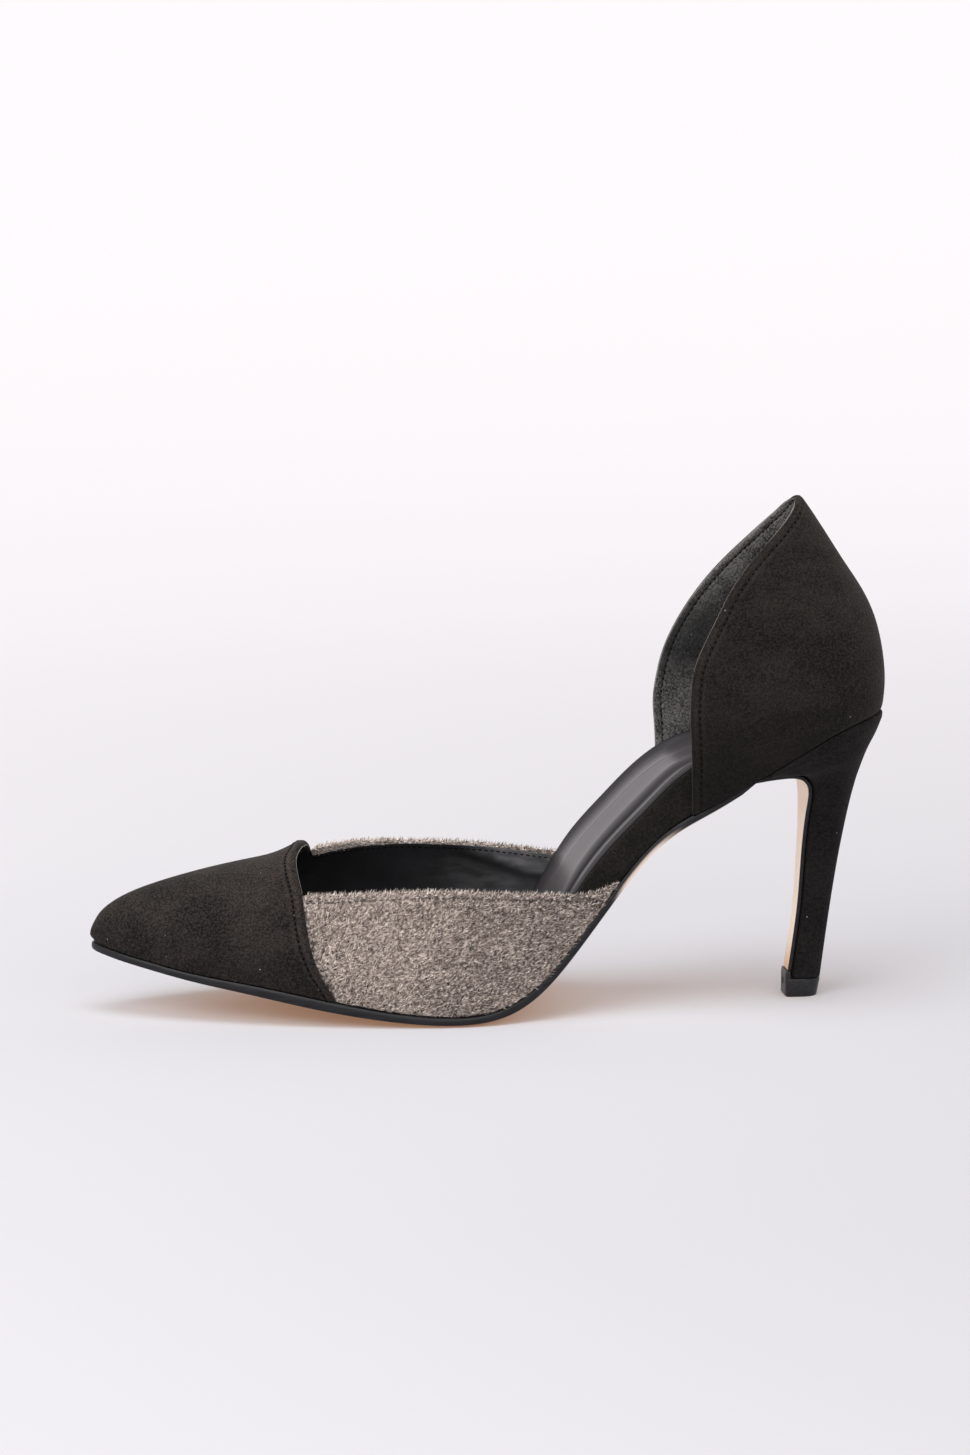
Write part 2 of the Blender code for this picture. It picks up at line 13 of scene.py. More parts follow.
import bmesh
import bpy
import numpy as np
from bpy.types import ID, Material, NodeSocket, Object
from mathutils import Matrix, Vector


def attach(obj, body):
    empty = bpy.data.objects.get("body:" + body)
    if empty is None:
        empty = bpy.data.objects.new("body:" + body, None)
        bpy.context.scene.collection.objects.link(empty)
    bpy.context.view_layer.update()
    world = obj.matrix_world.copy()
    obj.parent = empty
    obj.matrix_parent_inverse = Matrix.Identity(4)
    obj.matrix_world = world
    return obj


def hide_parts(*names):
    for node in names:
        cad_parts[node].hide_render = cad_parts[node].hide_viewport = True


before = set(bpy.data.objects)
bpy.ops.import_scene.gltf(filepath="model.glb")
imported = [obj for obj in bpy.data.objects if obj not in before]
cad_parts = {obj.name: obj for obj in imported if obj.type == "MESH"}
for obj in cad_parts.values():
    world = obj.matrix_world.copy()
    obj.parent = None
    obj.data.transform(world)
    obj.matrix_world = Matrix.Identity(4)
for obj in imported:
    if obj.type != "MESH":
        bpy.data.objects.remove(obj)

LOG = logging.getLogger("pump")
MM = 0.001
MERGE = 2e-6                    # metres within which points of a piece are one
SHARP = 50.0                    # degrees over which an edge is drawn sharp
IMAGE_WIDTH = 970
IMAGE_HEIGHT = 1455
VAMP_RUN = (-52.0, 34.0)        # x of the vamp's front and back, over which its suede has painted shade towards the back
INNER_FOLD = (40.0, 42.5)       # heights over which the suede turns over the inner topline, where it has a painted highlight
Colour = tuple[float, float, float]
Place = tuple[float, float, float]      # a point in metres, or a direction
Numbers = Union[float, np.ndarray]
Finishes = dict[str, Material]
Pieces = dict[str, Object]
Values = dict[Union[str, int], object]  # settings or sockets of a node, or inputs of a tree
Line = tuple[np.ndarray, np.ndarray]    # points and unit normals


class Side(Enum):
    """Side of the foot; the value is the sign of y there."""

    LATERAL = -1
    MEDIAL = 1

    @property
    def column(self) -> str:
        """Name of this side's column in the tables."""
        return self.name.lower()


class Sections:
    """A table with a row for each section and a smooth curve through each named column."""

    def __init__(self, columns: str, rows: Sequence[Sequence[float]], round_start: bool = False) -> None:
        """Fit the curves.

        Args:
            columns: Names of the columns; the first is the place along the table.
            rows: The sections in order.
            round_start: Whether the curves start at right angles to the first place.
        """
        values = np.array(rows, float)
        self.places = values[:, 0]
        self.warp = np.sqrt if round_start else np.asarray
        along = self.warp(self.places)
        self.curves = {name: spline(along, values[:, k]) for k, name in enumerate(columns.split())}

    def at(self, column: str, place: Numbers) -> np.ndarray:
        """Return a column's value at a place, or at each of several."""
        return self.curves[column](self.warp(np.maximum(place, 0.0)))


def spline(xs: np.ndarray, ys: np.ndarray) -> Callable[[Numbers], np.ndarray]:
    """Return a natural cubic curve through points, straight past both ends.

    Args:
        xs: Rising places.
        ys: Values there; further axes give several curves at once.

    Returns:
        The curve as a function of the place.
    """
    h = np.diff(xs)
    matrix = np.eye(len(xs))
    right = np.zeros_like(ys)
    slope = np.diff(ys, axis=0) / h.reshape(-1, *[1] * (ys.ndim - 1))
    for i in range(1, len(xs) - 1):
        matrix[i, i - 1:i + 2] = h[i - 1], 2 * (h[i - 1] + h[i]), h[i]
        right[i] = 6 * (slope[i] - slope[i - 1])
    bend = np.linalg.solve(matrix, right.reshape(len(xs), -1)).reshape(ys.shape)
    first = slope[0] - bend[1] * h[0] / 6
    last = slope[-1] + bend[-2] * h[-1] / 6

    def curve(x: Numbers) -> np.ndarray:
        """Return the curve's value at a place."""
        x = np.asarray(x, float)
        i = np.clip(np.searchsorted(xs, x) - 1, 0, len(h) - 1)
        shape = x.shape + (1,) * (ys.ndim - 1)
        inside = np.clip(x, xs[0], xs[-1])
        a = (xs[i + 1] - inside).reshape(shape)
        b = (inside - xs[i]).reshape(shape)
        step = h[i].reshape(shape)
        y = (bend[i] * a**3 + bend[i + 1] * b**3) / (6 * step)
        y = y + (ys[i] / step - bend[i] * step / 6) * a + (ys[i + 1] / step - bend[i + 1] * step / 6) * b
        before = np.minimum(x - xs[0], 0).reshape(shape)
        after = np.maximum(x - xs[-1], 0).reshape(shape)
        return y + first * before + last * after

    return curve


def smoothstep(low: float, high: float, value: Numbers) -> np.ndarray:
    """Return 0 below low, 1 above high and a soft ramp between."""
    t = np.clip((np.asarray(value, float) - low) / (high - low), 0, 1)
    return t * t * (3 - 2 * t)


def bump(centre: float, reach: float, value: Numbers) -> np.ndarray:
    """Return a soft hill of height 1 about a centre."""
    return np.exp(-(((np.asarray(value, float) - centre) / reach) ** 2))


# Feather outline (half widths), top of the outsole, how much higher the inner side of the arch is,
# the outsole's inset, edge and extra depth in the middle, and the insole's thickness, inset and
# rise towards its edge
SOLE = Sections("station lateral medial top lift sole_inset edge crown insole inset cup", [
    (0, 0, 0, 20.6, 0, -0.8, 2.2, 0, 3.0, 3.2, 0),
    (3, 5.3, 5.0, 19.7, 0, -0.8, 2.2, 0.2, 3.0, 3.2, 0),
    (8, 9.6, 9.0, 18.5, 0, -0.8, 2.2, 0.5, 3.0, 3.2, 0),
    (16, 14.2, 13.5, 16.7, 0, -0.8, 2.2, 0.9, 3.0, 3.2, 0),
    (28, 19.8, 19.2, 14.2, 0, -0.8, 2.3, 1.3, 3.0, 3.2, 0),
    (45, 26.0, 26.0, 11.6, 0, -0.8, 2.8, 1.6, 3.0, 3.2, 0),
    (65, 31.6, 31.8, 7.9, 0, -0.8, 3.0, 1.8, 3.0, 3.2, 0),
    (85, 35.2, 35.2, 4.3, 0, -0.8, 2.4, 1.8, 3.0, 3.2, 0),
    (102, 36.3, 35.0, 2.7, 0, -0.7, 2.1, 1.8, 3.0, 3.2, 0),
    (115, 35.4, 32.6, 3.8, 0, -0.2, 2.3, 2.1, 3.2, 3.2, 0),
    (123, 33.6, 30.2, 6.9, 0.6, 0.4, 2.8, 2.3, 5.0, 3.2, 0),
    (132, 31.0, 27.2, 13.8, 2.0, 0.6, 3.2, 2.5, 9.5, 3.2, 0),
    (142, 28.4, 24.6, 25.3, 3.4, 0.7, 3.4, 2.6, 13.4, 3.0, 0),
    (153, 26.0, 22.8, 39.2, 3.6, 0.9, 3.3, 2.6, 12.4, 2.5, 0),
    (162, 24.4, 22.1, 49.3, 3.4, 1.2, 2.9, 2.6, 11.4, 1.4, 0),
    (171, 23.4, 22.0, 56.2, 2.7, 1.3, 2.6, 2.4, 11.8, 2.6, 1.1),
    (182, 23.2, 22.5, 61.8, 1.2, 2.0, 2.2, 1.6, 11.0, 2.6, 4.2),
    (194, 23.6, 23.5, 68.3, 0, 3.6, 1.5, 0.4, 8.8, 2.6, 6.5),
    (205, 24.0, 24.0, 74.9, 0, 5.0, 1.2, 0, 6.8, 2.6, 7.0),
    (220, 24.0, 24.0, 83.0, 0, 5.0, 1.2, 0, 4.8, 2.6, 7.0),
    (235, 24.0, 24.0, 86.8, 0, 5.0, 1.2, 0, 4.2, 2.6, 7.0),
], round_start=True)

# Height of the last's ridge: the toe cap's outline, then the instep that the vamp leans to
RIDGE = Sections("station height", [
    (0, 24.8), (1.8, 29.2), (4.8, 31.8), (10.7, 35.0), (19.6, 38.1), (31.4, 41.2), (46.2, 44.2),
    (55.1, 46.4), (61, 49.2), (80, 58), (100, 69), (120, 79), (152, 92),
], round_start=True)

# Height of the vamp's topline
TOPLINE = Sections("station lateral medial", [
    (59.4, 37.5, 44.1), (75, 38.5, 45.9), (90, 39.5, 45.5), (105, 39.6, 44.6), (118, 38.9, 43.8),
    (132, 37.8, 42.4), (140, 37.2, 41.5), (146, 37.7, 41.5), (152.5, 40.0, 43.7),
])

# Rear edge of the toe cap, from the feather line (0) around to the ridge (1)
CAP_EDGE = Sections("around lateral medial", [
    (0, 69.5, 72.5), (0.08, 65.6, 70.0), (0.2, 62.4, 68.0), (0.35, 60.8, 66.9), (0.52, 60.0, 66.0),
    (0.62, 59.2, 65.2), (0.74, 58.7, 64.2), (0.86, 59.3, 62.9), (0.94, 60.7, 62.1), (1, 61.6, 61.6),
])

# Counter, level by level: its back, where the level is widest, half width there, how much the
# sides close in again towards the front, and the two front edges
COUNTER = Sections("level back centre half close lateral medial", [
    (56, 233.2, 205, 23.9, 0.04, 174.5, 170.2),
    (72, 233.8, 205, 24.3, 0.04, 174.4, 170.0),
    (80, 234.0, 205, 24.8, 0.04, 174.1, 169.7),
    (88, 234.8, 205, 25.2, 0.05, 173.7, 169.3),
    (95, 235.4, 205, 25.3, 0.05, 173.9, 170.3),
    (101, 235.1, 205, 25.0, 0.06, 174.6, 171.6),
    (108, 234.0, 204, 24.3, 0.06, 177.0, 174.3),
    (115.5, 231.9, 203, 22.8, 0.05, 180.8, 178.3),
    (123, 228.3, 201, 20.4, 0.03, 184.9, 183.2),
    (131, 223.0, 199, 17.4, 0, 190.6, 189.6),
    (137, 219.1, 198, 14.9, 0, 196.2, 195.3),
    (143, 215.2, 196, 12.8, 0, 202.2, 201.4),
    (147, 212.5, 194, 11.6, 0, 205.9, 205.2),
    (149.6, 210.6, 192, 11.0, 0, 208.1, 207.7),
    (150.6, 209.8, 191, 10.8, 0, 209.3, 209.2),
])

# Heel, ring by ring from the tip up: front and back edge with their heights, half width, how far
# back along the ring it is widest, and the front's squareness
HEEL_RINGS = Sections("ring front front_height back back_height half centre power", [
    (0, 208.5, 5.8, 217.3, 5.8, 4.7, 0.45, 7),
    (1, 209.8, 17.4, 218.8, 17.6, 4.6, 0.45, 7),
    (2, 211.2, 29.6, 220.5, 30.0, 4.7, 0.45, 7),
    (3, 211.9, 41.8, 222.4, 42.2, 5.2, 0.45, 7),
    (4, 212.5, 51.6, 224.2, 52.0, 6.4, 0.45, 7),
    (4.6, 212.9, 58.0, 225.5, 58.8, 8.6, 0.45, 7),
    (5, 213.0, 62.9, 226.5, 63.6, 11.2, 0.45, 7),
    (5.25, 212.18, 65.95, 227.4, 67.2, 13.2, 0.44, 7),
    (5.5, 209.95, 68.18, 228.7, 71.2, 15.6, 0.42, 7.3),
    (5.75, 206.9, 69.0, 230.1, 75.2, 18.6, 0.39, 8),
    (6.3, 197.2, 68.95, 233.4, 81.6, 22.4, 0.28, 9),
    (6.5, 196.3, 68.98, 234.8, 85.2, 23.7, 0.24, 9),
])

# Outer face of the outsole beyond the shank: under the heel's lip, then down the breast
FLAP = Sections("run station height half turn", [
    (0, 194.5, 67.0, 17.0, 90), (4.5, 199.0, 67.25, 14.4, 90), (8.5, 203.0, 67.45, 12.8, 90),
    (12.4, 206.9, 67.5, 12.2, 90), (14.8, 209.2, 66.88, 11.8, 60), (17.2, 210.88, 65.2, 11.0, 30),
    (19.6, 211.5, 62.9, 10.0, 0), (24.5, 211.4, 58.0, 7.7, 0), (31, 211.0, 51.6, 5.5, 0),
    (41, 210.4, 41.8, 4.4, 0), (53, 209.7, 29.6, 3.9, 0), (65.5, 208.3, 17.4, 3.8, 0),
    (75, 206.95, 8.1, 3.9, 0),
])


@dataclass(frozen=True)
class Last:
    """The form that the shoe is built on, with the sizes that its pieces share."""

    middle: float = 117.5           # station over the origin
    gap: float = 0.3                # between pieces that meet
    section_power: float = 2.1      # 2 is an ellipse, more is squarer
    bulge: float = 1.5              # upper standing out over the feather line
    bulge_starts: float = 20.0
    toe_softness: float = 7.0       # half width below which an inset fades out
    toe_shift_reach: float = 10.0
    nose: float = 1.2               # toe rounding forward over the feather line
    nose_reach: float = 5.0
    heel_centre: float = 205.0      # station where the heel seat is widest
    heel_back: float = 234.4
    heel_power: float = 2.2
    vamp_end: float = 152.5
    shank_end: float = 190.0
    peak: float = 150.6             # top of the counter
    closing_reach: float = 31.0

    def toe_shift(self, station: Numbers, inset: Numbers) -> np.ndarray:
        """Return how far an inset piece starts behind the toe tip."""
        return inset * np.exp(-np.asarray(station) / self.toe_shift_reach)

    def half_width(self, station: Numbers, side: Side, inset: Numbers) -> np.ndarray:
        """Return the half width of the feather outline, set in by a distance.

        Args:
            station: Distance from the toe tip.
            side: Side of the foot.
            inset: Distance inside the outline.

        Returns:
            The half width on that side.
        """
        width = SOLE.at(side.column, station)
        front = width - inset * np.tanh(width / self.toe_softness)
        reach = self.heel_back - inset - self.heel_centre
        along = np.clip((station - self.heel_centre) / reach, 0, 1)
        widest = SOLE.at(side.column, self.heel_centre) - inset
        back = widest * (1 - along**self.heel_power) ** (1 / self.heel_power)
        return np.where(np.asarray(station) <= self.heel_centre, front, back)

    def sole_top(self, station: Numbers, y: Numbers) -> np.ndarray:
        """Return the height of the outsole's top, which twists up to the inner side at the arch."""
        lateral = SOLE.at("lateral", station)
        width = np.maximum(lateral + SOLE.at("medial", station), 1e-6)
        return SOLE.at("top", station) + SOLE.at("lift", station) * np.clip((y + lateral) / width, 0, 1)

    def around_at(self, station: Numbers, side: Side, height: Numbers, inset: Numbers) -> np.ndarray:
        """Return the place around a section, 0 at the feather line and 1 on the ridge, of a height."""
        base = SOLE.at("top", station) + (SOLE.at("lift", station) if side is Side.MEDIAL else 0)
        rise = (height - base) / (RIDGE.at("height", station) - inset - base)
        return 2 / np.pi * np.arcsin(np.clip(rise, 0, 1) ** (self.section_power / 2))

    def upper(self, station: Numbers, side: Side, around: Numbers, inset: Numbers) -> np.ndarray:
        """Return points of the upper's outer surface, set in by a distance.

        Args:
            station: Distances from the toe tip.
            side: Side of the foot.
            around: Places around the section, 0 at the feather line and 1 on the ridge.
            inset: Distance inside the outer surface.

        Returns:
            Points, with a last axis of three.
        """
        station, around = np.broadcast_arrays(np.asarray(station, float), np.asarray(around, float))
        angle = np.pi / 2 * around
        spread = np.maximum(np.cos(angle), 0) ** (2 / self.section_power)
        climb = np.maximum(np.sin(angle), 0) ** (2 / self.section_power)
        nose = self.nose * np.sin(np.pi * climb) * np.exp(-station / self.nose_reach)
        place = station + self.toe_shift(station, inset) - nose
        grown = 1 - np.exp(-((station / self.bulge_starts) ** 2))
        bulge = self.bulge * grown * np.sin(2 * angle) ** 2 * np.cos(angle)
        y = side.value * (self.half_width(station, side, inset) * spread + bulge)
        base = self.sole_top(place, y) + self.gap
        return np.stack([place, y, base + (RIDGE.at("height", station) - inset - base) * climb], axis=-1)

    def insole_top(self, station: Numbers, y: Numbers) -> np.ndarray:
        """Return the height of the insole's top over the outsole, cupped around the heel."""
        behind = np.maximum(station - self.heel_centre, 0) / (self.heel_back - self.heel_centre)
        across = y / SOLE.at("lateral", self.heel_centre)
        rise = SOLE.at("cup", station) * (across**2 + behind**2)
        return self.gap + SOLE.at("insole", station) + rise


LAST = Last()


def srgb(red: float, green: float, blue: float) -> Colour:
    """Return the linear colour of screen values from 0 to 255."""
    shares = np.array([red, green, blue]) / 255
    linear = np.where(shares <= 0.04045, shares / 12.92, ((shares + 0.055) / 1.055) ** 2.4)
    return tuple(float(value) for value in linear)


def add_object(name: str, data: ID) -> Object:
    """Return a new object in the scene."""
    made = bpy.data.objects.new(name, data)
    bpy.context.scene.collection.objects.link(made)
    return made


class NodeTree:
    """A node tree built in code."""

    def __init__(self, tree: bpy.types.NodeTree) -> None:
        """Take a tree to add nodes to."""
        self.tree = tree

    def node(
        self, kind: str, settings: Values | None = None, sockets: Values | None = None, output: int | str = 0,
    ) -> NodeSocket:
        """Add a node.

        Args:
            kind: Type of the node.
            settings: Properties that are set first; "stops" gives a ramp's places and colours.
            sockets: Values or links of its inputs, by name or number.
            output: Output to return.

        Returns:
            The chosen output.
        """
        made = self.tree.nodes.new(kind)
        for name, value in (settings or {}).items():
            if name == "stops":
                for _ in range(len(value) - 2):
                    made.color_ramp.elements.new(0.5)
                for element, (place, colour) in zip(made.color_ramp.elements, value):
                    element.position = place
                    element.color = (*colour, 1.0)
            else:
                setattr(made, name, value)
        for key, value in (sockets or {}).items():
            self.feed(made.inputs[key], value)
        return made.outputs[output]

    def feed(self, socket: NodeSocket, value: Union["Signal", NodeSocket, float, Sequence[float]]) -> None:
        """Link an output or a signal to a socket, or set the socket's own value."""
        if isinstance(value, Signal):
            value = value.socket
        if isinstance(value, NodeSocket):
            self.tree.links.new(value, socket)
        elif isinstance(value, tuple) and len(value) == 3 and socket.type == "RGBA":
            socket.default_value = (*value, 1.0)
        else:
            socket.default_value = value


class Signal:
    """A value on a surface; operators on it add Math nodes."""

    def __init__(self, paint: "Paint", socket: NodeSocket) -> None:
        """Wrap one output of a node."""
        self.paint = paint
        self.socket = socket

    def _math(self, operation: str, *terms: "Term") -> "Signal":
        """Return the result of a Math node on the terms."""
        return self.paint.node("ShaderNodeMath", {"operation": operation}, dict(enumerate(terms)))

    def __add__(self, other: "Term") -> "Signal":
        """Return the sum."""
        return self._math("ADD", self, other)

    def __radd__(self, other: float) -> "Signal":
        """Return the sum with a number on the left."""
        return self._math("ADD", other, self)

    def __sub__(self, other: "Term") -> "Signal":
        """Return the difference."""
        return self._math("SUBTRACT", self, other)

    def __rsub__(self, other: float) -> "Signal":
        """Return a number less this value."""
        return self._math("SUBTRACT", other, self)

    def __mul__(self, other: "Term") -> "Signal":
        """Return the product."""
        return self._math("MULTIPLY", self, other)

    def __rmul__(self, other: float) -> "Signal":
        """Return the product with a number on the left."""
        return self._math("MULTIPLY", other, self)

    def between(self, low: float, high: float) -> "Signal":
        """Return 0 below low, 1 above high and a soft ramp between."""
        settings = {"interpolation_type": "SMOOTHSTEP", "clamp": True}
        sockets = {"Value": self, "From Min": low, "From Max": high}
        return self.paint.node("ShaderNodeMapRange", settings, sockets)


Term = Union[Signal, float]


class Paint(NodeTree):
    """Node tree of one material, with its shader."""

    def __init__(self, name: str) -> None:
        """Start a material with the standard shader."""
        self.material = bpy.data.materials.new(name)
        self.material.use_nodes = True
        super().__init__(self.material.node_tree)
        self.shader = self.tree.nodes["Principled BSDF"]
        self.place = self.node("ShaderNodeTexCoord", output="Object")

    def node(
        self, kind: str, settings: Values | None = None, sockets: Values | None = None, output: int | str = 0,
    ) -> Signal:
        """Add a node, as in any tree, and return the chosen output as a signal."""
        return Signal(self, super().node(kind, settings, sockets, output))

    def set(self, **values: Union[Signal, float, Colour]) -> None:
        """Feed the shader's sockets, named with underscores for spaces."""
        for name, value in values.items():
            self.feed(self.shader.inputs[name.replace("_", " ")], value)

    def noise(
        self, size: float, detail: float = 2.0, rough: float = 0.5, stretch: Sequence[float] = (1, 1, 1),
    ) -> Signal:
        """Return cloudy noise.

        Args:
            size: Width of a cloud in millimetres.
            detail: Number of finer layers.
            rough: Strength of the finer layers.
            stretch: Factors on the three axes before the noise is read.

        Returns:
            The noise from 0 to 1.
        """
        place = self.place
        if tuple(stretch) != (1, 1, 1):
            place = self.node("ShaderNodeMapping", None, {"Vector": place, "Scale": tuple(stretch)})
        sockets = {"Vector": place, "Scale": 1 / (size * MM), "Detail": detail, "Roughness": rough}
        return self.node("ShaderNodeTexNoise", None, sockets)

    def cells(self, size: float, feature: str = "F1") -> Signal:
        """Return the distance to the nearest of scattered points, in cells of a size in millimetres."""
        sockets = {"Vector": self.place, "Scale": 1 / (size * MM)}
        return self.node("ShaderNodeTexVoronoi", {"feature": feature}, sockets, "Distance")

    def mix(self, low: Union[Signal, Colour], high: Union[Signal, Colour], share: Signal) -> Signal:
        """Return a blend of two colours."""
        settings = {"data_type": "RGBA", "clamp_factor": True}
        return self.node("ShaderNodeMix", settings, {0: share, 6: low, 7: high}, 2)

    def attribute(self, name: str) -> Signal:
        """Return a mask that the mesh carries."""
        return self.node("ShaderNodeAttribute", {"attribute_name": name}, output="Fac")

    def rise(self, axis: str, low: float, high: float) -> Signal:
        """Return a soft ramp from 0 to 1 between two places on an axis, in millimetres."""
        place = self.node("ShaderNodeSeparateXYZ", None, {"Vector": self.place}, axis)
        return place.between(low * MM, high * MM)

    def relief(self, height: Signal, depth: float, strength: float = 1.0) -> None:
        """Let a height from 0 to 1 raise the surface by a depth in millimetres, as shading."""
        sockets = {"Height": height, "Distance": depth * MM, "Strength": strength}
        self.set(Normal=self.node("ShaderNodeBump", None, sockets))


@dataclass(frozen=True)
class Suede:
    """Fine brushed suede: cloudy from brushing, with a short nap."""

    name: str
    shade: Colour
    light: Colour
    brushed: float = 16.0       # width of the brushed clouds
    nap: float = 0.7            # width of a tuft
    depth: float = 0.24
    sheen: float = 0.06
    painted_shade_by_height: tuple[float, float, float] | None = None     # painted shade: from which height to which it lightens, and how dark it stays below
    again: tuple[float, float] | None = None    # painted light: heights between which it turns lighter once more
    sheen_tint: Colour = (0.80, 0.72, 0.66)
    lint: Colour = (0.42, 0.40, 0.38)
    worn: str = "worn"          # attribute of a painted highlight on the puffed strips beside a stitch row

    def make(self) -> Material:
        """Return the material."""
        paint = Paint(self.name)
        cloud = paint.noise(self.brushed, 3.0, 0.55, (1, 1, 1.5)).between(0.34, 0.68)
        tuft = paint.noise(self.nap, 3.0, 0.65)
        speck = paint.noise(self.nap * 0.5, 1.0, 0.5).between(0.5, 0.75)
        worn = paint.attribute(self.worn)
        # Painted highlight: the strips beside a stitch row are lighter where their puff catches the light.
        share = cloud * 0.24 + tuft.between(0.34, 0.68) * 0.56 + speck * 0.26 - 0.04 + worn * 0.3
        # Painted shade by height: darker below the given heights, or above them where they are given high to
        # low.
        if self.painted_shade_by_height:
            low, high, least = self.painted_shade_by_height
            rise = paint.rise("Z", low, high)
            if self.again:
                rise = rise + paint.rise("Z", *self.again)
            share = share * (least + (1.1 - least) * rise)
        stray = paint.cells(5.5).between(0.05, 0.02)
        colour = paint.mix(self.shade, self.light, share)
        paint.set(Base_Color=paint.mix(colour, self.lint, stray * 0.6))
        paint.set(Roughness=0.86 + 0.1 * tuft, Specular_IOR_Level=0.18)
        paint.set(Sheen_Weight=self.sheen, Sheen_Roughness=0.45, Sheen_Tint=self.sheen_tint)
        paint.relief(tuft * 0.7 + speck * 0.5, self.depth, 0.8)
        return paint.material


@dataclass(frozen=True)
class NapGround:
    """Ground of the coarse grey suede, seen between its fibres."""

    name: str = "grey_suede"
    deep: Colour = srgb(50, 44, 41)
    mid: Colour = srgb(126, 115, 109)
    pale: Colour = srgb(204, 191, 182)
    tuft: float = 0.95

    def make(self) -> Material:
        """Return the material."""
        paint = Paint(self.name)
        cloud = paint.noise(20.0, 2.0)
        tuft = paint.noise(self.tuft, 3.0, 0.65)
        stops = {"stops": [(0.36, self.deep), (0.5, self.mid), (0.65, self.pale)]}
        # Painted light: lighter towards the toe, darker towards the back, lighter where the suede turns over
        # the inner topline.
        along, turned = paint.rise("X", *VAMP_RUN), paint.rise("Z", *INNER_FOLD)
        share = tuft + (cloud - 0.5) * 0.2 - (along - 0.5) * 0.06 + turned * 0.1
        paint.set(Base_Color=paint.node("ShaderNodeValToRGB", stops, {0: share}), Roughness=0.9)
        paint.set(Specular_IOR_Level=0.15, Sheen_Weight=0.15, Sheen_Roughness=0.5)
        paint.relief(tuft, 0.5)
        return paint.material


@dataclass(frozen=True)
class NapFibre:
    """Fibres of the coarse grey suede, each with a tint of its own."""

    name: str = "grey_fibre"
    attribute: str = "tint"
    deep: Colour = srgb(48, 42, 39)
    mid: Colour = srgb(158, 143, 134)
    pale: Colour = srgb(255, 246, 236)

    def make(self) -> Material:
        """Return the material."""
        paint = Paint(self.name)
        tint = paint.attribute(self.attribute)
        cloud = paint.noise(14.0, 2.0)
        tuft = paint.noise(0.9, 2.0, 0.6).between(0.34, 0.66)
        stops = {"stops": [(0.0, self.deep), (0.5, self.mid), (1.0, self.pale)]}
        # Painted light: lighter towards the toe, darker towards the back, lighter where the suede turns over
        # the inner topline.
        along, turned = paint.rise("X", *VAMP_RUN), paint.rise("Z", *INNER_FOLD)
        share = tint * 0.84 + tuft * 0.44 - 0.11 + (cloud - 0.5) * 0.2 - (along - 0.5) * 0.18 + turned * 0.06
        paint.set(Base_Color=paint.node("ShaderNodeValToRGB", stops, {0: share}))
        paint.set(Roughness=0.75, Specular_IOR_Level=0.25)
        return paint.material


@dataclass(frozen=True)
class Leather:
    """Smooth leather with a fine grain and a soft gloss."""

    name: str
    shade: Colour
    light: Colour
    gloss: float                # roughness where it is smoothest
    grain: float = 0.55
    depth: float = 0.05
    waves: float = 0.0          # depth of soft ripples
    specular: float = 0.4
    painted_sheen_colour: Colour = srgb(112, 111, 113)
    rubbed: str = "rubbed"      # attribute of places with a painted sheen

    def make(self) -> Material:
        """Return the material."""
        paint = Paint(self.name)
        cloud = paint.noise(11.0, 3.0)
        grain = paint.cells(self.grain, "SMOOTH_F1")
        fine = paint.noise(self.grain * 0.5, 2.0)
        rubbed = paint.attribute(self.rubbed)
        wrinkle = paint.noise(4.5, 3.0, 0.5, (0.6, 1, 1.8)).between(0.3, 0.72)
        colour = paint.mix(self.shade, self.light, cloud.between(0.3, 0.7))
        # Painted sheen: lighter where the mesh's mask says the leather catches the light.
        paint.set(Base_Color=paint.mix(colour, self.painted_sheen_colour, rubbed * (0.3 + 0.7 * wrinkle)))
        paint.set(Roughness=self.gloss + 0.12 * fine + 0.06 * cloud, Specular_IOR_Level=self.specular)
        height = grain * 0.6 + fine * 0.4
        if self.waves:
            ripple = paint.noise(9.0, 1.0, 0.4, (0.6, 1, 1.6))
            height = height + ripple * (self.waves / self.depth)
        paint.relief(height, self.depth)
        return paint.material


@dataclass(frozen=True)
class SockLeather:
    """Smooth black sock leather, glossier on the pad and dull in its grooves, with a painted highlight on the
    pad and painted shade in the grooves.
    """

    name: str = "sock_leather"
    attribute: str = "tone"
    # Colours of the painted shade in the grooves and the painted highlight on the pad
    groove: Colour = srgb(16, 16, 18)
    pad: Colour = srgb(71, 67, 70)
    gloss: float = 0.3

    def make(self) -> Material:
        """Return the material."""
        paint = Paint(self.name)
        tone = paint.attribute(self.attribute)
        cloud = paint.noise(14.0, 3.0)
        fine = paint.noise(0.4, 2.0)
        paint.set(Base_Color=paint.mix(self.groove, self.pad, tone * (0.9 + 0.2 * cloud)))
        paint.set(Roughness=self.gloss + 0.4 * (1 - tone) + 0.08 * fine + 0.05 * cloud)
        paint.set(Specular_IOR_Level=0.2, Coat_Weight=tone * 0.45, Coat_Roughness=0.3)
        paint.relief(fine, 0.02)
        return paint.material


@dataclass(frozen=True)
class PaintedEdge:
    """Black edge paint on leather, smoothed and waxed, thin where the sole rounds under the waist."""

    name: str = "edge_paint"
    attribute: str = "bare"
    shade: Colour = srgb(12, 12, 14)
    light: Colour = srgb(28, 27, 30)
    leather: Colour = srgb(240, 222, 204)

    def make(self) -> Material:
        """Return the material."""
        paint = Paint(self.name)
        bare = paint.attribute(self.attribute)
        streak = paint.noise(1.6, 3.0, 0.6, (0.15, 0.15, 2.0))
        painted = paint.mix(self.shade, self.light, streak.between(0.35, 0.7))
        paint.set(Base_Color=paint.mix(painted, self.leather, bare))
        paint.set(Roughness=0.34 + 0.16 * streak, Specular_IOR_Level=0.25)
        paint.set(Coat_Weight=0.06, Coat_Roughness=0.25)
        paint.relief(streak, 0.04)
        return paint.material


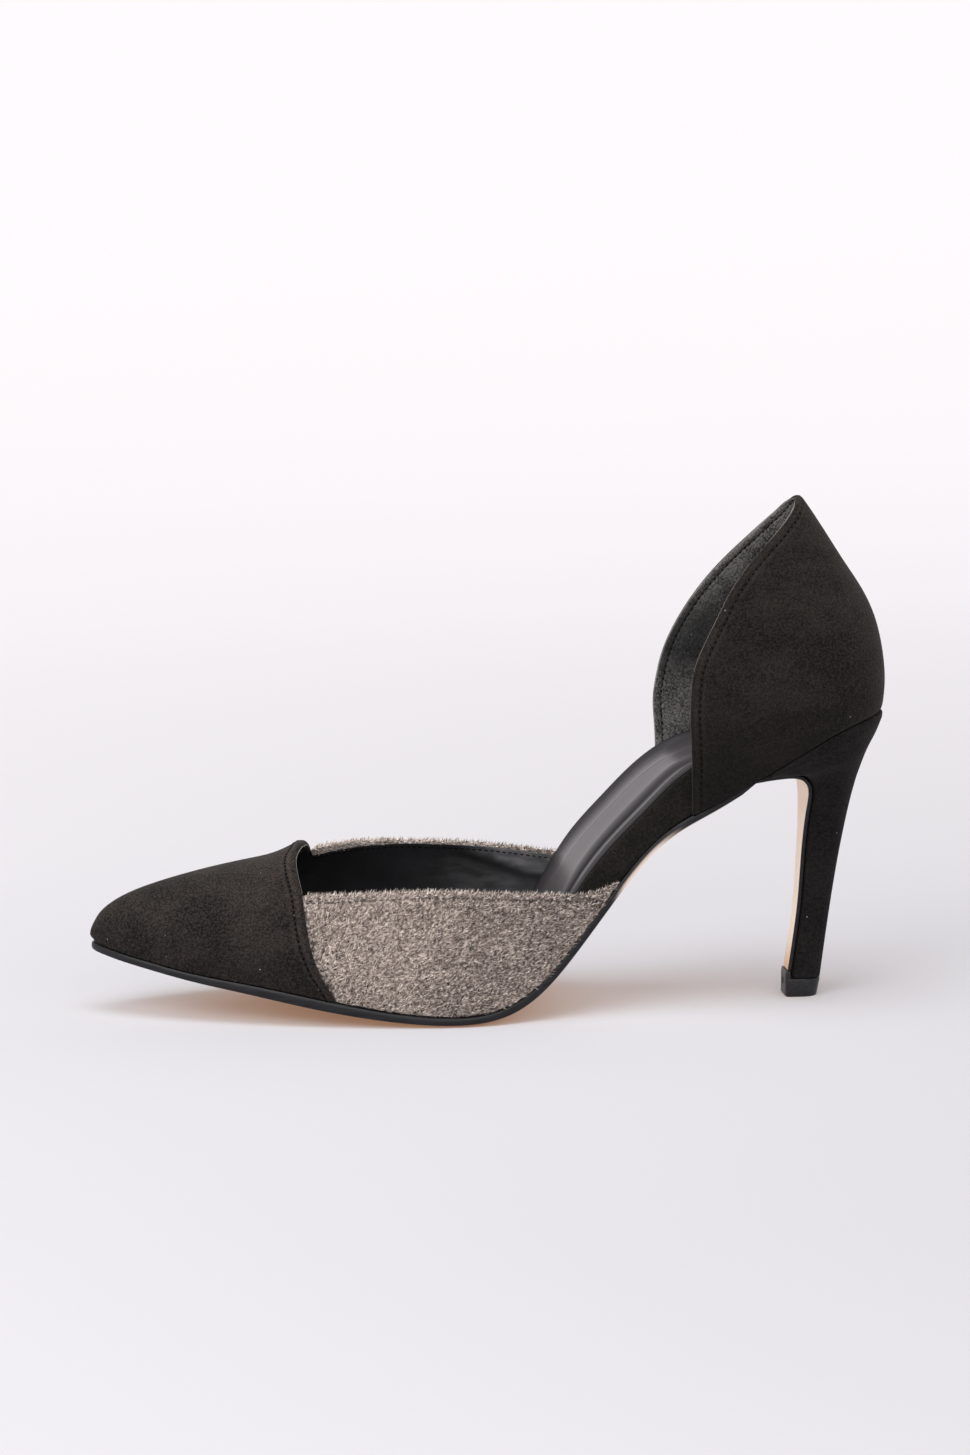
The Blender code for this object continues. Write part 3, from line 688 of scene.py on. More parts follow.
@dataclass(frozen=True)
class SoleLeather:
    """Tan sole leather with a fine fibre and a light polish."""

    name: str = "sole_leather"
    shade: Colour = srgb(208, 158, 114)
    light: Colour = srgb(228, 188, 148)
    breast: Colour = srgb(253, 240, 223)
    pale_from: tuple[float, float] = (6.0, 20.0)    # heights over which it pales towards the breast

    def make(self) -> Material:
        """Return the material."""
        paint = Paint(self.name)
        cloud = paint.noise(18.0, 3.0)
        fibre = paint.noise(0.7, 3.0, 0.6, (0.25, 1, 1))
        pores = paint.cells(0.9)
        share = cloud.between(0.3, 0.7) * 0.6 + fibre.between(0.35, 0.7) * 0.4
        tan = paint.mix(self.shade, self.light, share)
        paint.set(Base_Color=paint.mix(tan, self.breast, paint.rise("Z", *self.pale_from) * 0.85))
        paint.set(Specular_IOR_Level=0.45, Roughness=0.38 + 0.2 * fibre)
        paint.relief(fibre * 0.7 + pores * 0.3, 0.05)
        return paint.material


@dataclass(frozen=True)
class Plastic:
    """Moulded plastic of the heel tip, rubbed a little."""

    name: str
    shade: Colour
    light: Colour
    gloss: float = 0.28

    def make(self) -> Material:
        """Return the material."""
        paint = Paint(self.name)
        rub = paint.noise(1.3, 3.0, 0.6, (1, 1, 3))
        fleck = paint.noise(0.25, 1.0)
        paint.set(Base_Color=paint.mix(self.shade, self.light, rub.between(0.4, 0.75)))
        paint.set(Roughness=self.gloss + 0.2 * rub, Specular_IOR_Level=0.35)
        paint.relief(fleck, 0.02)
        return paint.material


@dataclass(frozen=True)
class Thread:
    """Twisted sewing thread."""

    name: str
    shade: Colour
    light: Colour

    def make(self) -> Material:
        """Return the material."""
        paint = Paint(self.name)
        ply = paint.node("ShaderNodeTexWave", {"bands_direction": "DIAGONAL"}, {
            "Vector": paint.place, "Scale": 900.0, "Distortion": 1.5}, "Fac")
        paint.set(Base_Color=paint.mix(self.shade, self.light, ply), Roughness=0.8, Specular_IOR_Level=0.08)
        paint.relief(ply, 0.05)
        return paint.material


@dataclass(frozen=True)
class Backdrop:
    """Pale seamless studio paper that glows by itself, more with distance from the shoe, as painted light."""

    name: str = "studio_paper"
    near: Colour = (0.46, 0.452, 0.474)
    far: Colour = (0.215, 0.21, 0.215)
    painted_glow: Colour = (1.0, 0.97, 0.99)
    middle: Place = (0.3, -0.25, 0.0)           # where the painted glow is least
    reach: float = 2.95
    painted_glow_by_radius: Sequence[tuple[float, float]] = (
        (0.0, 0.08), (0.3, 0.14), (0.7, 0.31), (1.03, 0.45), (1.28, 0.555), (1.58, 0.64), (2.0, 0.72),
        (2.59, 0.79), (2.95, 0.815))
    painted_bounce_reach: float = 0.3                     # round the shoe, a warm painted glow stands in for light bounced from the sole and warms its shadow
    # there the paper is bluer, so that unshadowed paper stays neutral under the warm painted glow
    paper_under_painted_bounce: Colour = (0.45, 0.505, 0.57)
    painted_bounce_glow: Colour = (0.18, 0.1, 0.055)

    def make(self) -> Material:
        """Return the material."""
        paint = Paint(self.name)
        flat = paint.node("ShaderNodeVectorMath", {"operation": "MULTIPLY"}, {0: paint.place, 1: (1, 1, 0)})
        radius, close = (
            paint.node("ShaderNodeVectorMath", {"operation": "DISTANCE"}, {0: flat, 1: centre}, "Value")
            for centre in (self.middle, (0.0, 0.0, 0.0)))
        stops = [(place / self.reach, tuple(part * share for part in self.painted_glow))
                 for place, share in self.painted_glow_by_radius]
        painted_glow = paint.node("ShaderNodeValToRGB", {"stops": stops}, {0: radius * (1 / self.reach)})
        paper = paint.mix(self.near, self.far, radius.between(0.0, self.reach))
        painted_bounce = close.between(self.painted_bounce_reach, 0.0)
        paint.set(Base_Color=paint.mix(paper, self.paper_under_painted_bounce, painted_bounce))
        paint.set(Emission_Color=paint.mix(painted_glow, self.painted_bounce_glow, painted_bounce), Emission_Strength=1.0)
        paint.set(Roughness=0.95, Specular_IOR_Level=0.05)
        return paint.material


def grid_normals(grid: np.ndarray) -> np.ndarray:
    """Return unit normals of a grid of points, rows by columns."""
    normals = np.cross(np.gradient(grid, axis=1), np.gradient(grid, axis=0))
    return normals / np.maximum(np.linalg.norm(normals, axis=2, keepdims=True), 1e-9)


def unit(vectors: np.ndarray) -> np.ndarray:
    """Return vectors of length one."""
    return vectors / np.maximum(np.linalg.norm(vectors, axis=-1, keepdims=True), 1e-9)


def rolled_edge(outer: np.ndarray, inner: np.ndarray, forward: np.ndarray, count: int = 7) -> np.ndarray:
    """Return the half round that joins two faces of a wall at its edge.

    Args:
        outer: Last points of the outer face.
        inner: Last points of the inner face.
        forward: Unit directions in which the wall runs towards the edge.
        count: Number of points between the two faces.

    Returns:
        Points from the outer face to the inner one, without both ends.
    """
    angle = np.pi * np.arange(1, count + 1) / (count + 1)
    middle = (outer + inner) / 2
    half = (outer - inner) / 2
    radius = np.linalg.norm(half, axis=-1, keepdims=True)
    turn = np.cos(angle)[None, :, None]
    rise = np.sin(angle)[None, :, None]
    return middle[:, None] + half[:, None] * turn + (forward * radius)[:, None] * rise


def folded_wall(outer: np.ndarray, inner: np.ndarray, count: int = 7) -> tuple[np.ndarray, np.ndarray]:
    """Return rows along a wall's outer face, round its edge and back inside, and the edge alone."""
    edge = rolled_edge(outer[:, -1], inner[:, -1], unit(outer[:, -1] - outer[:, -3]), count)
    return np.concatenate([outer, edge, inner[:, ::-1]], axis=1), edge


def in_metres(points: np.ndarray) -> list[list[float]]:
    """Return points on the shoe, given in millimetres by station, as places in metres."""
    return ((points.reshape(-1, 3) - (LAST.middle, 0, 0)) * MM).tolist()


def shell_faces(
    rows: int, columns: int, strips: Sequence[int], closed: bool, ends: tuple[bool, bool],
) -> tuple[list[tuple[int, ...]], list[int]]:
    """Return faces between rings of points.

    Args:
        rows: Number of rings.
        columns: Points in a ring.
        strips: Material number of the strip that follows each point of a ring.
        closed: Whether the last point of a ring joins the first.
        ends: Whether the first and the last ring are closed across.

    Returns:
        The faces and their material numbers.
    """
    faces, numbers = [], []
    for row in range(rows - 1):
        low, high = row * columns, (row + 1) * columns
        for k in range(columns if closed else columns - 1):
            after = (k + 1) % columns
            faces.append((low + k, low + after, high + after, high + k))
            numbers.append(strips[k])
    for start in [place for place, shut in zip((0, (rows - 1) * columns), ends) if shut]:
        for k in range(columns // 2 - 1):
            faces.append((start + k, start + k + 1, start + columns - 2 - k, start + columns - 1 - k))
            numbers.append(strips[k])
    return faces, numbers


def make_shell(
    name: str, rings: np.ndarray, finishes: Sequence[Material], strips: Sequence[int] | None = None,
    masks: dict[str, np.ndarray] | None = None, closed: bool = True, ends: tuple[bool, bool] = (True, True),
) -> Object:
    """Make a closed piece through rings of points, rows by columns.

    Args:
        name: Name of the object.
        rings: Points in millimetres, with stations along the shoe.
        finishes: Materials.
        strips: Material number of the strip after each column.
        masks: Values for each point, by attribute name.
        closed: Whether the last point of a ring joins the first.
        ends: Whether the first and the last ring are closed across.

    Returns:
        The object, with doubled points merged and faces turned out.
    """
    rows, columns = rings.shape[:2]
    strips = np.zeros(columns, int) if strips is None else strips
    faces, numbers = shell_faces(rows, columns, strips, closed, ends)
    mesh = bpy.data.meshes.new(name)
    mesh.from_pydata(in_metres(rings), [], faces)
    for finish in finishes:
        mesh.materials.append(finish)
    mesh.polygons.foreach_set("material_index", np.asarray(numbers, np.int32))
    for key, values in (masks or {}).items():
        layer = mesh.attributes.new(key, "FLOAT", "POINT")
        layer.data.foreach_set("value", values.reshape(-1).astype(np.float32))
    work = bmesh.new()
    work.from_mesh(mesh)
    bmesh.ops.remove_doubles(work, verts=work.verts, dist=MERGE)
    bmesh.ops.dissolve_degenerate(work, edges=work.edges, dist=1e-7)
    bmesh.ops.recalc_face_normals(work, faces=work.faces)
    work.to_mesh(mesh)
    work.free()
    mesh.shade_smooth()
    mesh.set_sharp_from_angle(angle=np.radians(SHARP))
    return add_object(name, mesh)


class GeometryTree(NodeTree):
    """Geometry Nodes tree with named inputs."""

    def __init__(self, name: str) -> None:
        """Start a tree that takes and gives a geometry."""
        super().__init__(bpy.data.node_groups.new(name, "GeometryNodeTree"))
        self.tree.interface.new_socket("Geometry", in_out="INPUT", socket_type="NodeSocketGeometry")
        self.tree.interface.new_socket("Geometry", in_out="OUTPUT", socket_type="NodeSocketGeometry")
        self.entry = self.tree.nodes.new("NodeGroupInput")
        self.exit = self.tree.nodes.new("NodeGroupOutput")

    @property
    def source(self) -> NodeSocket:
        """The geometry that comes in."""
        return self.entry.outputs["Geometry"]

    def input(self, name: str, kind: str = "NodeSocketFloat") -> NodeSocket:
        """Add a named input and return its socket inside the tree."""
        self.tree.interface.new_socket(name, in_out="INPUT", socket_type=kind)
        return self.entry.outputs[name]

    def finish(self, geometry: NodeSocket, material: NodeSocket) -> None:
        """End the tree in real geometry with a material."""
        real = self.node("GeometryNodeRealizeInstances", None, {"Geometry": geometry})
        dressed = self.node("GeometryNodeSetMaterial", None, {"Geometry": real, "Material": material})
        self.tree.links.new(dressed, self.exit.inputs["Geometry"])

    def run(self, name: str, carrier: Object, values: Values) -> Object:
        """Run the tree on a carrier and keep the result as a plain mesh.

        Args:
            name: Name of the new object.
            carrier: Object that the tree reads.
            values: Values of the named inputs.

        Returns:
            The new object.
        """
        modifier = carrier.modifiers.new(self.tree.name, "NODES")
        modifier.node_group = self.tree
        for item in self.tree.interface.items_tree:
            if item.in_out == "INPUT" and item.name in values:
                modifier[item.identifier] = values[item.name]
        depsgraph = bpy.context.evaluated_depsgraph_get()
        mesh = bpy.data.meshes.new_from_object(carrier.evaluated_get(depsgraph), depsgraph=depsgraph)
        carrier.modifiers.remove(modifier)
        mesh.name = name
        return add_object(name, mesh)

    def follow(
        self, name: str, lines: Sequence[np.ndarray], ups: Sequence[np.ndarray], values: Values,
    ) -> Object:
        """Run the tree on plain edges along lines, which are removed afterwards.

        Args:
            name: Name of the new object.
            lines: Points of each line in millimetres.
            ups: Unit normals of the surface at the points, given to the tree as an attribute.
            values: Values of the named inputs.

        Returns:
            The new object.
        """
        points, edges = [], []
        for line in lines:
            edges += [(len(points) + k, len(points) + k + 1) for k in range(len(line) - 1)]
            points += in_metres(line)
        mesh = bpy.data.meshes.new("path")
        mesh.from_pydata(points, edges, [])
        normals = np.concatenate(ups).astype(np.float32).reshape(-1)
        mesh.attributes.new("up", "FLOAT_VECTOR", "POINT").data.foreach_set("vector", normals)
        carrier = add_object("path", mesh)
        made = self.run(name, carrier, values)
        bpy.data.objects.remove(carrier, do_unlink=True)
        return made


@dataclass
class Stitching:
    """A row of sewn stitches, each a short length of thread that dips into the leather."""

    pitch: float
    length: float
    width: float
    height: float

    def sew(
        self, name: str, lines: Sequence[np.ndarray], ups: Sequence[np.ndarray], thread: Material,
    ) -> Object:
        """Sew along lines on a surface.

        Args:
            name: Name of the object.
            lines: Points of each line in millimetres.
            ups: Unit normals of the surface there.
            thread: Material of the thread.

        Returns:
            All the stitches as one object.
        """
        tree = GeometryTree("stitches")
        pitch = tree.input("Pitch")
        size = tree.input("Size", "NodeSocketVector")
        material = tree.input("Thread", "NodeSocketMaterial")
        curve = tree.node("GeometryNodeMeshToCurve", None, {"Mesh": tree.source})
        spaced = tree.node("GeometryNodeResampleCurve", {"mode": "LENGTH"}, {"Curve": curve, "Length": pitch})
        up = tree.node("GeometryNodeInputNamedAttribute", {"data_type": "FLOAT_VECTOR"}, {"Name": "up"})
        tangent = tree.node("GeometryNodeInputTangent")
        turn = tree.node("FunctionNodeAxesToRotation", {"primary_axis": "X", "secondary_axis": "Z"}, {
            "Primary Axis": tangent, "Secondary Axis": up})
        thread_mesh = tree.node("GeometryNodeMeshUVSphere", None, {"Segments": 8, "Rings": 5, "Radius": 0.5})
        smooth = tree.node("GeometryNodeSetShadeSmooth", None, {"Geometry": thread_mesh})
        laid = tree.node("GeometryNodeInstanceOnPoints", None, {
            "Points": spaced, "Instance": smooth, "Rotation": turn, "Scale": size})
        tree.finish(laid, material)
        size_m = (self.length * MM, self.width * MM, self.height * MM)
        return tree.follow(name, lines, ups, {"Pitch": self.pitch * MM, "Size": size_m, "Thread": thread})


@dataclass
class Cording:
    """A thin round edging that follows a path."""

    radius: float

    def lay(self, name: str, lines: Sequence[np.ndarray], finish: Material) -> Object:
        """Lay the edging along lines.

        Args:
            name: Name of the object.
            lines: Points of each line in millimetres.
            finish: Material of the edging.

        Returns:
            The edging as one object.
        """
        tree = GeometryTree("cording")
        radius = tree.input("Radius")
        material = tree.input("Finish", "NodeSocketMaterial")
        curve = tree.node("GeometryNodeMeshToCurve", None, {"Mesh": tree.source})
        circle = tree.node("GeometryNodeCurvePrimitiveCircle", None, {"Resolution": 8, "Radius": radius})
        tube = tree.node("GeometryNodeCurveToMesh", None, {
            "Curve": curve, "Profile Curve": circle, "Fill Caps": True})
        smooth = tree.node("GeometryNodeSetShadeSmooth", None, {"Geometry": tube})
        tree.finish(smooth, material)
        ups = [np.tile((0.0, 0.0, 1.0), (len(line), 1)) for line in lines]
        return tree.follow(name, lines, ups, {"Radius": self.radius * MM, "Finish": finish})


@dataclass
class Nap:
    """Coarse fibres that stand on suede and lean one way."""

    density: float = 7.0            # fibres on a square millimetre where the mask is 1
    length: float = 1.5
    width: float = 0.3
    lift: float = 0.42              # share of the fibre that stands up from the surface
    lean: Place = (0.5, 0.0, 0.42)
    tangle: float = 0.5
    seed: int = 7
    mask: str = "nap"

    def grow(self, name: str, ground: Object, fibre: Material) -> Object:
        """Grow the fibres on a piece.

        Args:
            name: Name of the object.
            ground: Piece whose mask attribute says where fibres grow.
            fibre: Material of the fibres.

        Returns:
            All the fibres as one object.
        """
        tree = GeometryTree("nap")
        density = tree.input("Density")
        length = tree.input("Length")
        width = tree.input("Width")
        seed = tree.input("Seed", "NodeSocketInt")
        material = tree.input("Fibre", "NodeSocketMaterial")
        mask = tree.node("GeometryNodeInputNamedAttribute", {"data_type": "FLOAT"}, {"Name": self.mask})
        dense = tree.node("ShaderNodeMath", {"operation": "MULTIPLY"}, {0: mask, 1: density})
        spread = {"Mesh": tree.source, "Density": dense, "Seed": seed}
        points = tree.node("GeometryNodeDistributePointsOnFaces", None, spread)
        normal = tree.node("GeometryNodeInputNamedAttribute", {"data_type": "FLOAT_VECTOR"}, {"Name": "up"})
        kept = {"data_type": "FLOAT_VECTOR", "domain": "POINT"}
        stored = tree.node("GeometryNodeStoreNamedAttribute", kept, {
            "Geometry": points, "Name": "up", "Value": points.node.outputs["Normal"]})
        stray = tree.node("FunctionNodeRandomValue", {"data_type": "FLOAT_VECTOR"}, {
            0: (-1.0, -1.0, -1.0), 1: (1.0, 1.0, 1.0), "Seed": 3})
        tangled = tree.node("ShaderNodeVectorMath", {"operation": "SCALE"}, {0: stray, "Scale": self.tangle})
        leaned = tree.node("ShaderNodeVectorMath", {"operation": "ADD"}, {0: tangled, 1: self.lean})
        raised = tree.node("ShaderNodeVectorMath", {"operation": "SCALE"}, {0: normal, "Scale": self.lift})
        aim = tree.node("ShaderNodeVectorMath", {"operation": "ADD"}, {0: leaned, 1: raised})
        turn = tree.node("FunctionNodeAxesToRotation", {"primary_axis": "Z", "secondary_axis": "X"}, {
            "Primary Axis": aim, "Secondary Axis": normal})
        tint = tree.node("FunctionNodeRandomValue", {"data_type": "FLOAT"}, {2: 0.0, 3: 1.0, "Seed": 5}, 1)
        tinted = tree.node("GeometryNodeStoreNamedAttribute", {"data_type": "FLOAT", "domain": "POINT"}, {
            "Geometry": stored, "Name": NapFibre.attribute, "Value": tint})
        vary = tree.node("FunctionNodeRandomValue", {"data_type": "FLOAT"}, {2: 0.55, 3: 1.25, "Seed": 9}, 1)
        scale = tree.node("ShaderNodeMath", {"operation": "MULTIPLY"}, {0: vary, 1: mask})
        spike = tree.node("GeometryNodeMeshCone", {"fill_type": "NGON"}, {
            "Vertices": 3, "Radius Top": 0.0, "Radius Bottom": width, "Depth": length})
        laid = tree.node("GeometryNodeInstanceOnPoints", None, {
            "Points": tinted, "Instance": spike, "Rotation": turn, "Scale": scale})
        tree.finish(laid, material)
        return tree.run(name, ground, {
            "Density": self.density / MM**2, "Length": self.length * MM, "Width": self.width * MM / 2,
            "Seed": self.seed, "Fibre": fibre})


def outline(u: np.ndarray, side: Side, inset: np.ndarray) -> tuple[np.ndarray, np.ndarray]:
    """Return places along and half widths of the feather outline, set in by a distance.

    Args:
        u: Places from 0 at the toe through 1 at the widest of the heel to 2 at its back.
        side: Side of the foot.
        inset: Distance inside the outline for each place.

    Returns:
        Stations and half widths.
    """
    back = LAST.heel_back - inset - LAST.heel_centre
    ahead = np.minimum(u, 1) * LAST.heel_centre
    station = ahead + back * np.sin(np.pi / 2 * np.clip(u - 1, 0, 1))
    half = LAST.half_width(station, side, inset)
    return np.where(u < 1, station + LAST.toe_shift(station, inset), station), half


def footbed_places(toe: int, body: int, back: int) -> np.ndarray:
    """Return places along a footbed, crowded at the toe tip and round the heel's back."""
    toe_end = 0.12
    crowded = toe_end * (np.arange(toe) / toe) ** 2
    return np.concatenate([crowded, np.linspace(toe_end, 1, body), np.linspace(1, 2, back + 1)[1:]])


@dataclass
class Bottom:
    """Outsole with its flap down the heel's breast, insole and padded sock."""

    edge_out: Sequence[float] = (0.55, 0.3, 0.1, 0.0, 0.0, 0.06, 0.22, 0.5)
    edge_down: Sequence[float] = (0.0, 0.04, 0.16, 0.34, 0.66, 0.84, 0.95, 1.0)
    columns: int = 25               # points across the top, and across the underside
    toe_reach: float = 24.0         # stations crowded towards the toe tip
    crown_power: float = 2.5
    flap_wall: float = 1.2
    flap_trim: float = 0.35         # its faces end this far inside its edge
    flap_runs: Sequence[tuple[float, float, int]] = ((0, 12, 8), (13, 20, 12), (21, 75, 40))
    insole_round: float = 1.0
    sock_border: float = 1.2
    sock_wall: float = 1.5
    rim_round: float = 0.9          # radius of the sock's edge
    full_width: float = 14.0        # half width under which groove and pad fade out
    groove: float = 6.6             # groove between the sock's rim and its pad
    groove_depth: float = 0.7
    pad: float = 1.1
    far_ridge: float = 15.5         # edge of the pad on the inner side of the foot
    far_roll: float = 1.6           # inner rim standing up at the waist
    # Painted light and gloss across the sock by distance from its near and its far edge
    near_painted_light_and_gloss: Sequence[tuple[float, float]] = (
        (0, 0.3), (0.6, 0.5), (1.4, 0.7), (2.8, 0.74), (3.8, 0.5), (5, 0.22), (6.4, 0.02), (7.4, 0.1),
        (8.6, 0.45), (10, 0.75), (11.5, 0.92), (14, 0.85), (18, 0.8))
    far_painted_light_and_gloss: Sequence[tuple[float, float]] = (
        (0, 0), (1.4, 0.08), (3, 0.32), (5, 0.5), (9, 0.62), (12, 0.72), (14.6, 0.86), (15.5, 1),
        (16.4, 0.87), (19, 0.8))
    waist: tuple[float, float] = (150.5, 173.0)     # where the sole's edge shows bare leather

    def outsole_rings(self) -> np.ndarray:
        """Return rings of the outsole from the toe to the end of the flap."""
        across = np.linspace(-1, 1, self.columns)
        crowded = self.toe_reach * (np.arange(26) / 26) ** 2
        stations = np.concatenate([crowded, np.linspace(self.toe_reach, LAST.shank_end, 130)])
        down = np.array(self.edge_down)
        rings = []
        for station in stations:
            base = float(SOLE.at("sole_inset", station))
            thin = float(SOLE.at("edge", station))
            insets = base + np.array(self.edge_out) * min(1.0, thin / 2)
            top = self._sole_line(station, across, insets[0])
            crown = SOLE.at("crown", station) * (1 - np.abs(across) ** self.crown_power)
            under = self._sole_line(station, across, insets[-1])
            under[:, 2] = np.maximum(under[:, 2] - thin - crown, 0.0)
            edges = []
            for sign in (1, -1):
                rim = np.concatenate([self._sole_line(station, np.array([sign]), inset) for inset in insets])
                low = max(rim[-1, 2] - thin, 0.0)
                rim[:, 2] = rim[0, 2] + (low - rim[0, 2]) * down
                edges.append(rim[1:-1])
            rings.append(np.concatenate([top, edges[0], under[::-1], edges[1][::-1]]))
        for run in np.concatenate([np.linspace(*span) for span in self.flap_runs]):
            names = ("station", "height", "half", "turn")
            station, height, half, turn = (float(FLAP.at(name, run)) for name in names)
            normal = np.array([np.cos(np.radians(turn)), 0, np.sin(np.radians(turn))])
            face = np.array([station, 0, height])
            shown = half - self.flap_trim
            top = face + self.flap_wall * normal + np.outer(across * shown, (0, 1, 0))
            under = face + np.outer(across * shown, (0, 1, 0))
            edges = []
            for sign in (1, -1):
                out = half - np.array(self.edge_out) * 0.6
                rim = face + np.outer(sign * out, (0, 1, 0)) + np.outer((1 - down) * self.flap_wall, normal)
                edges.append(rim[1:-1])
            rings.append(np.concatenate([top, edges[0], under[::-1], edges[1][::-1]]))
        return np.array(rings)

    @staticmethod
    def _sole_line(station: float, across: np.ndarray, inset: float) -> np.ndarray:
        """Return points of the outsole's top across a station, with its outline set in."""
        place = station + LAST.toe_shift(station, inset)
        medial = LAST.half_width(station, Side.MEDIAL, inset)
        lateral = LAST.half_width(station, Side.LATERAL, inset)
        y = np.where(across > 0, across * medial, across * lateral)
        return np.stack([np.full_like(y, place), y, LAST.sole_top(place, y)], axis=1)

    def footbed(self, u: np.ndarray, border: np.ndarray, across: np.ndarray) -> tuple[np.ndarray, np.ndarray]:
        """Return points in plan of a footbed piece and their distance to its edge.

        Args:
            u: Places along.
            border: Distance of the piece's edge inside the insole's edge.
            across: Places across from -1 to 1.

        Returns:
            Points with the insole's top as height, and distances to the edge.
        """
        base = SOLE.at("inset", np.minimum(u * LAST.heel_centre, SOLE.places[-1])) + border
        rows, edge = [], []
        for side in Side:
            place, half = outline(u, side, base)
            share = across[across < 0] if side is Side.LATERAL else across[across >= 0]
            y = half[:, None] * share[None, :]
            x = np.repeat(place[:, None], len(share), axis=1)
            rows.append(np.stack([x, y], axis=2))
            edge.append(half[:, None] * (1 - np.abs(share))[None, :])
        plan = np.concatenate(rows, axis=1)
        x, y = plan[..., 0], plan[..., 1]
        top = LAST.sole_top(x, y) + LAST.insole_top(x, y)
        return np.concatenate([plan, top[..., None]], axis=2), np.concatenate(edge, axis=1)

    def insole_rings(self) -> np.ndarray:
        """Return rings of the insole: its top, rounded edge, side and underside."""
        u = footbed_places(24, 110, 26)
        across = np.linspace(-1, 1, 20)
        turn = np.linspace(0, np.pi / 2, 6)
        top, _ = self.footbed(u, np.full_like(u, self.insole_round), across)
        edges = []
        for sign in (1, -1):
            column = []
            for angle in turn[1:]:
                border = np.full_like(u, self.insole_round * (1 - np.sin(angle)))
                rim = self.footbed(u, border, np.array([-1.0, 1.0]))[0][:, 1 if sign > 0 else 0]
                rim[:, 2] -= self.insole_round * (1 - np.cos(angle))
                column.append(rim)
            for share in (0.3, 0.65, 1.0):
                side = column[len(turn) - 2].copy()
                floor = LAST.sole_top(side[:, 0], side[:, 1]) + LAST.gap
                side[:, 2] += (floor - side[:, 2]) * share
                column.append(side)
            edges.append(np.stack(column, axis=1))
        under = np.concatenate([edges[1][:, -1:], edges[0][:, -1:]], axis=1)
        middle = under[:, :1] + (under[:, 1:] - under[:, :1]) * np.linspace(0, 1, 20)[None, 1:-1, None]
        middle[..., 2] = LAST.sole_top(middle[..., 0], middle[..., 1]) + LAST.gap
        return np.concatenate([top, edges[0], middle[:, ::-1], edges[1][:, ::-1]], axis=1)

    def sock_rings(self) -> tuple[np.ndarray, np.ndarray]:
        """Return rings of the sock, with a rim, a groove and a padded middle, and their masks of painted
        light and gloss.
        """
        u = footbed_places(24, 150, 30)
        bend = np.linspace(-1, 1, 97)
        across = np.sign(bend) * (1 - (1 - np.abs(bend)) ** 1.35)
        top, edge = self.footbed(u, np.full_like(u, self.sock_border), across)
        under = top[:, ::4].copy()
        under[..., 2] += LAST.gap
        half = np.max(edge, axis=1, keepdims=True)
        fade = np.tanh(half / self.full_width)
        rounded = np.sqrt(np.clip(1 - (1 - np.minimum(edge / self.rim_round, 1)) ** 2, 0, 1))
        rim = rounded * (1 + 0.12 * bump(1.5, 0.8, edge))
        inner = (across > 0) * smoothstep(self.full_width, self.full_width + 5, half)
        waist = smoothstep(125, 145, top[..., 0]) * smoothstep(188, 172, top[..., 0])
        trough = -self.groove_depth * bump(self.groove, 1.6, edge) * fade * (1 - inner)
        near = smoothstep(self.groove + 0.6, self.groove + 5, edge)
        far = smoothstep(2.5, self.far_ridge - 0.5, edge)
        pad = self.pad * (near * (1 - inner) + far * inner) * fade
        ridge = (0.2 * bump(self.far_ridge, 0.7, edge) + self.far_roll * bump(2, 2.2, edge) * waist) * inner
        top[..., 2] += LAST.gap + self.sock_wall * np.clip(rim, 0.02, 2) + trough + pad + ridge
        curves = [np.interp(edge, *zip(*curve)) for curve in (self.near_painted_light_and_gloss, self.far_painted_light_and_gloss)]
        # Painted light: the sock turns lighter towards the heel.
        shallow = smoothstep(148, 176, top[..., 0]) * 0.4
        tone = np.maximum(curves[0], shallow) * (1 - inner) + curves[1] * inner
        painted_light_and_gloss_masks = np.concatenate([tone, np.zeros(under.shape[:2])], axis=1)
        return np.concatenate([top, under[:, ::-1]], axis=1), painted_light_and_gloss_masks

    def build(self, finishes: Finishes) -> Pieces:
        """Build the pieces.

        Args:
            finishes: Materials by name.

        Returns:
            Objects by the name of the solid that they stand for.
        """
        rings = self.outsole_rings()
        rim = np.array(self.edge_down[1:-1])
        strips = np.ones(rings.shape[1], int)
        under = self.columns + len(rim)
        strips[under:under + self.columns - 1] = 0
        leather = [finishes["sole"], finishes["edge"]]
        low = np.concatenate([np.zeros(self.columns), rim, np.ones(self.columns), rim[::-1]])
        start, end = self.waist
        behind = smoothstep(start, start + 5, rings[..., 0])
        wide = smoothstep(end, end - 10, rings[..., 0]) * smoothstep(0.5, 0.75, low)
        thin = smoothstep(end + 18, end + 8, rings[..., 0]) * smoothstep(0.85, 1, low)
        bare = behind * np.maximum(wide, 0.6 * thin)
        outsole = make_shell(
            "outsole_leather", rings, leather, strips, {PaintedEdge.attribute: bare}, ends=(False, True))
        insole = make_shell("insole_suede", self.insole_rings(), [finishes["insole"]], ends=(False, False))
        cushion, painted_light_and_gloss_masks = self.sock_rings()
        masks = {SockLeather.attribute: painted_light_and_gloss_masks}
        sock = make_shell("sock_leather", cushion, [finishes["sock"]], masks=masks, ends=(False, False))
        return {"outsole": outsole, "insole": insole, "sock": sock}


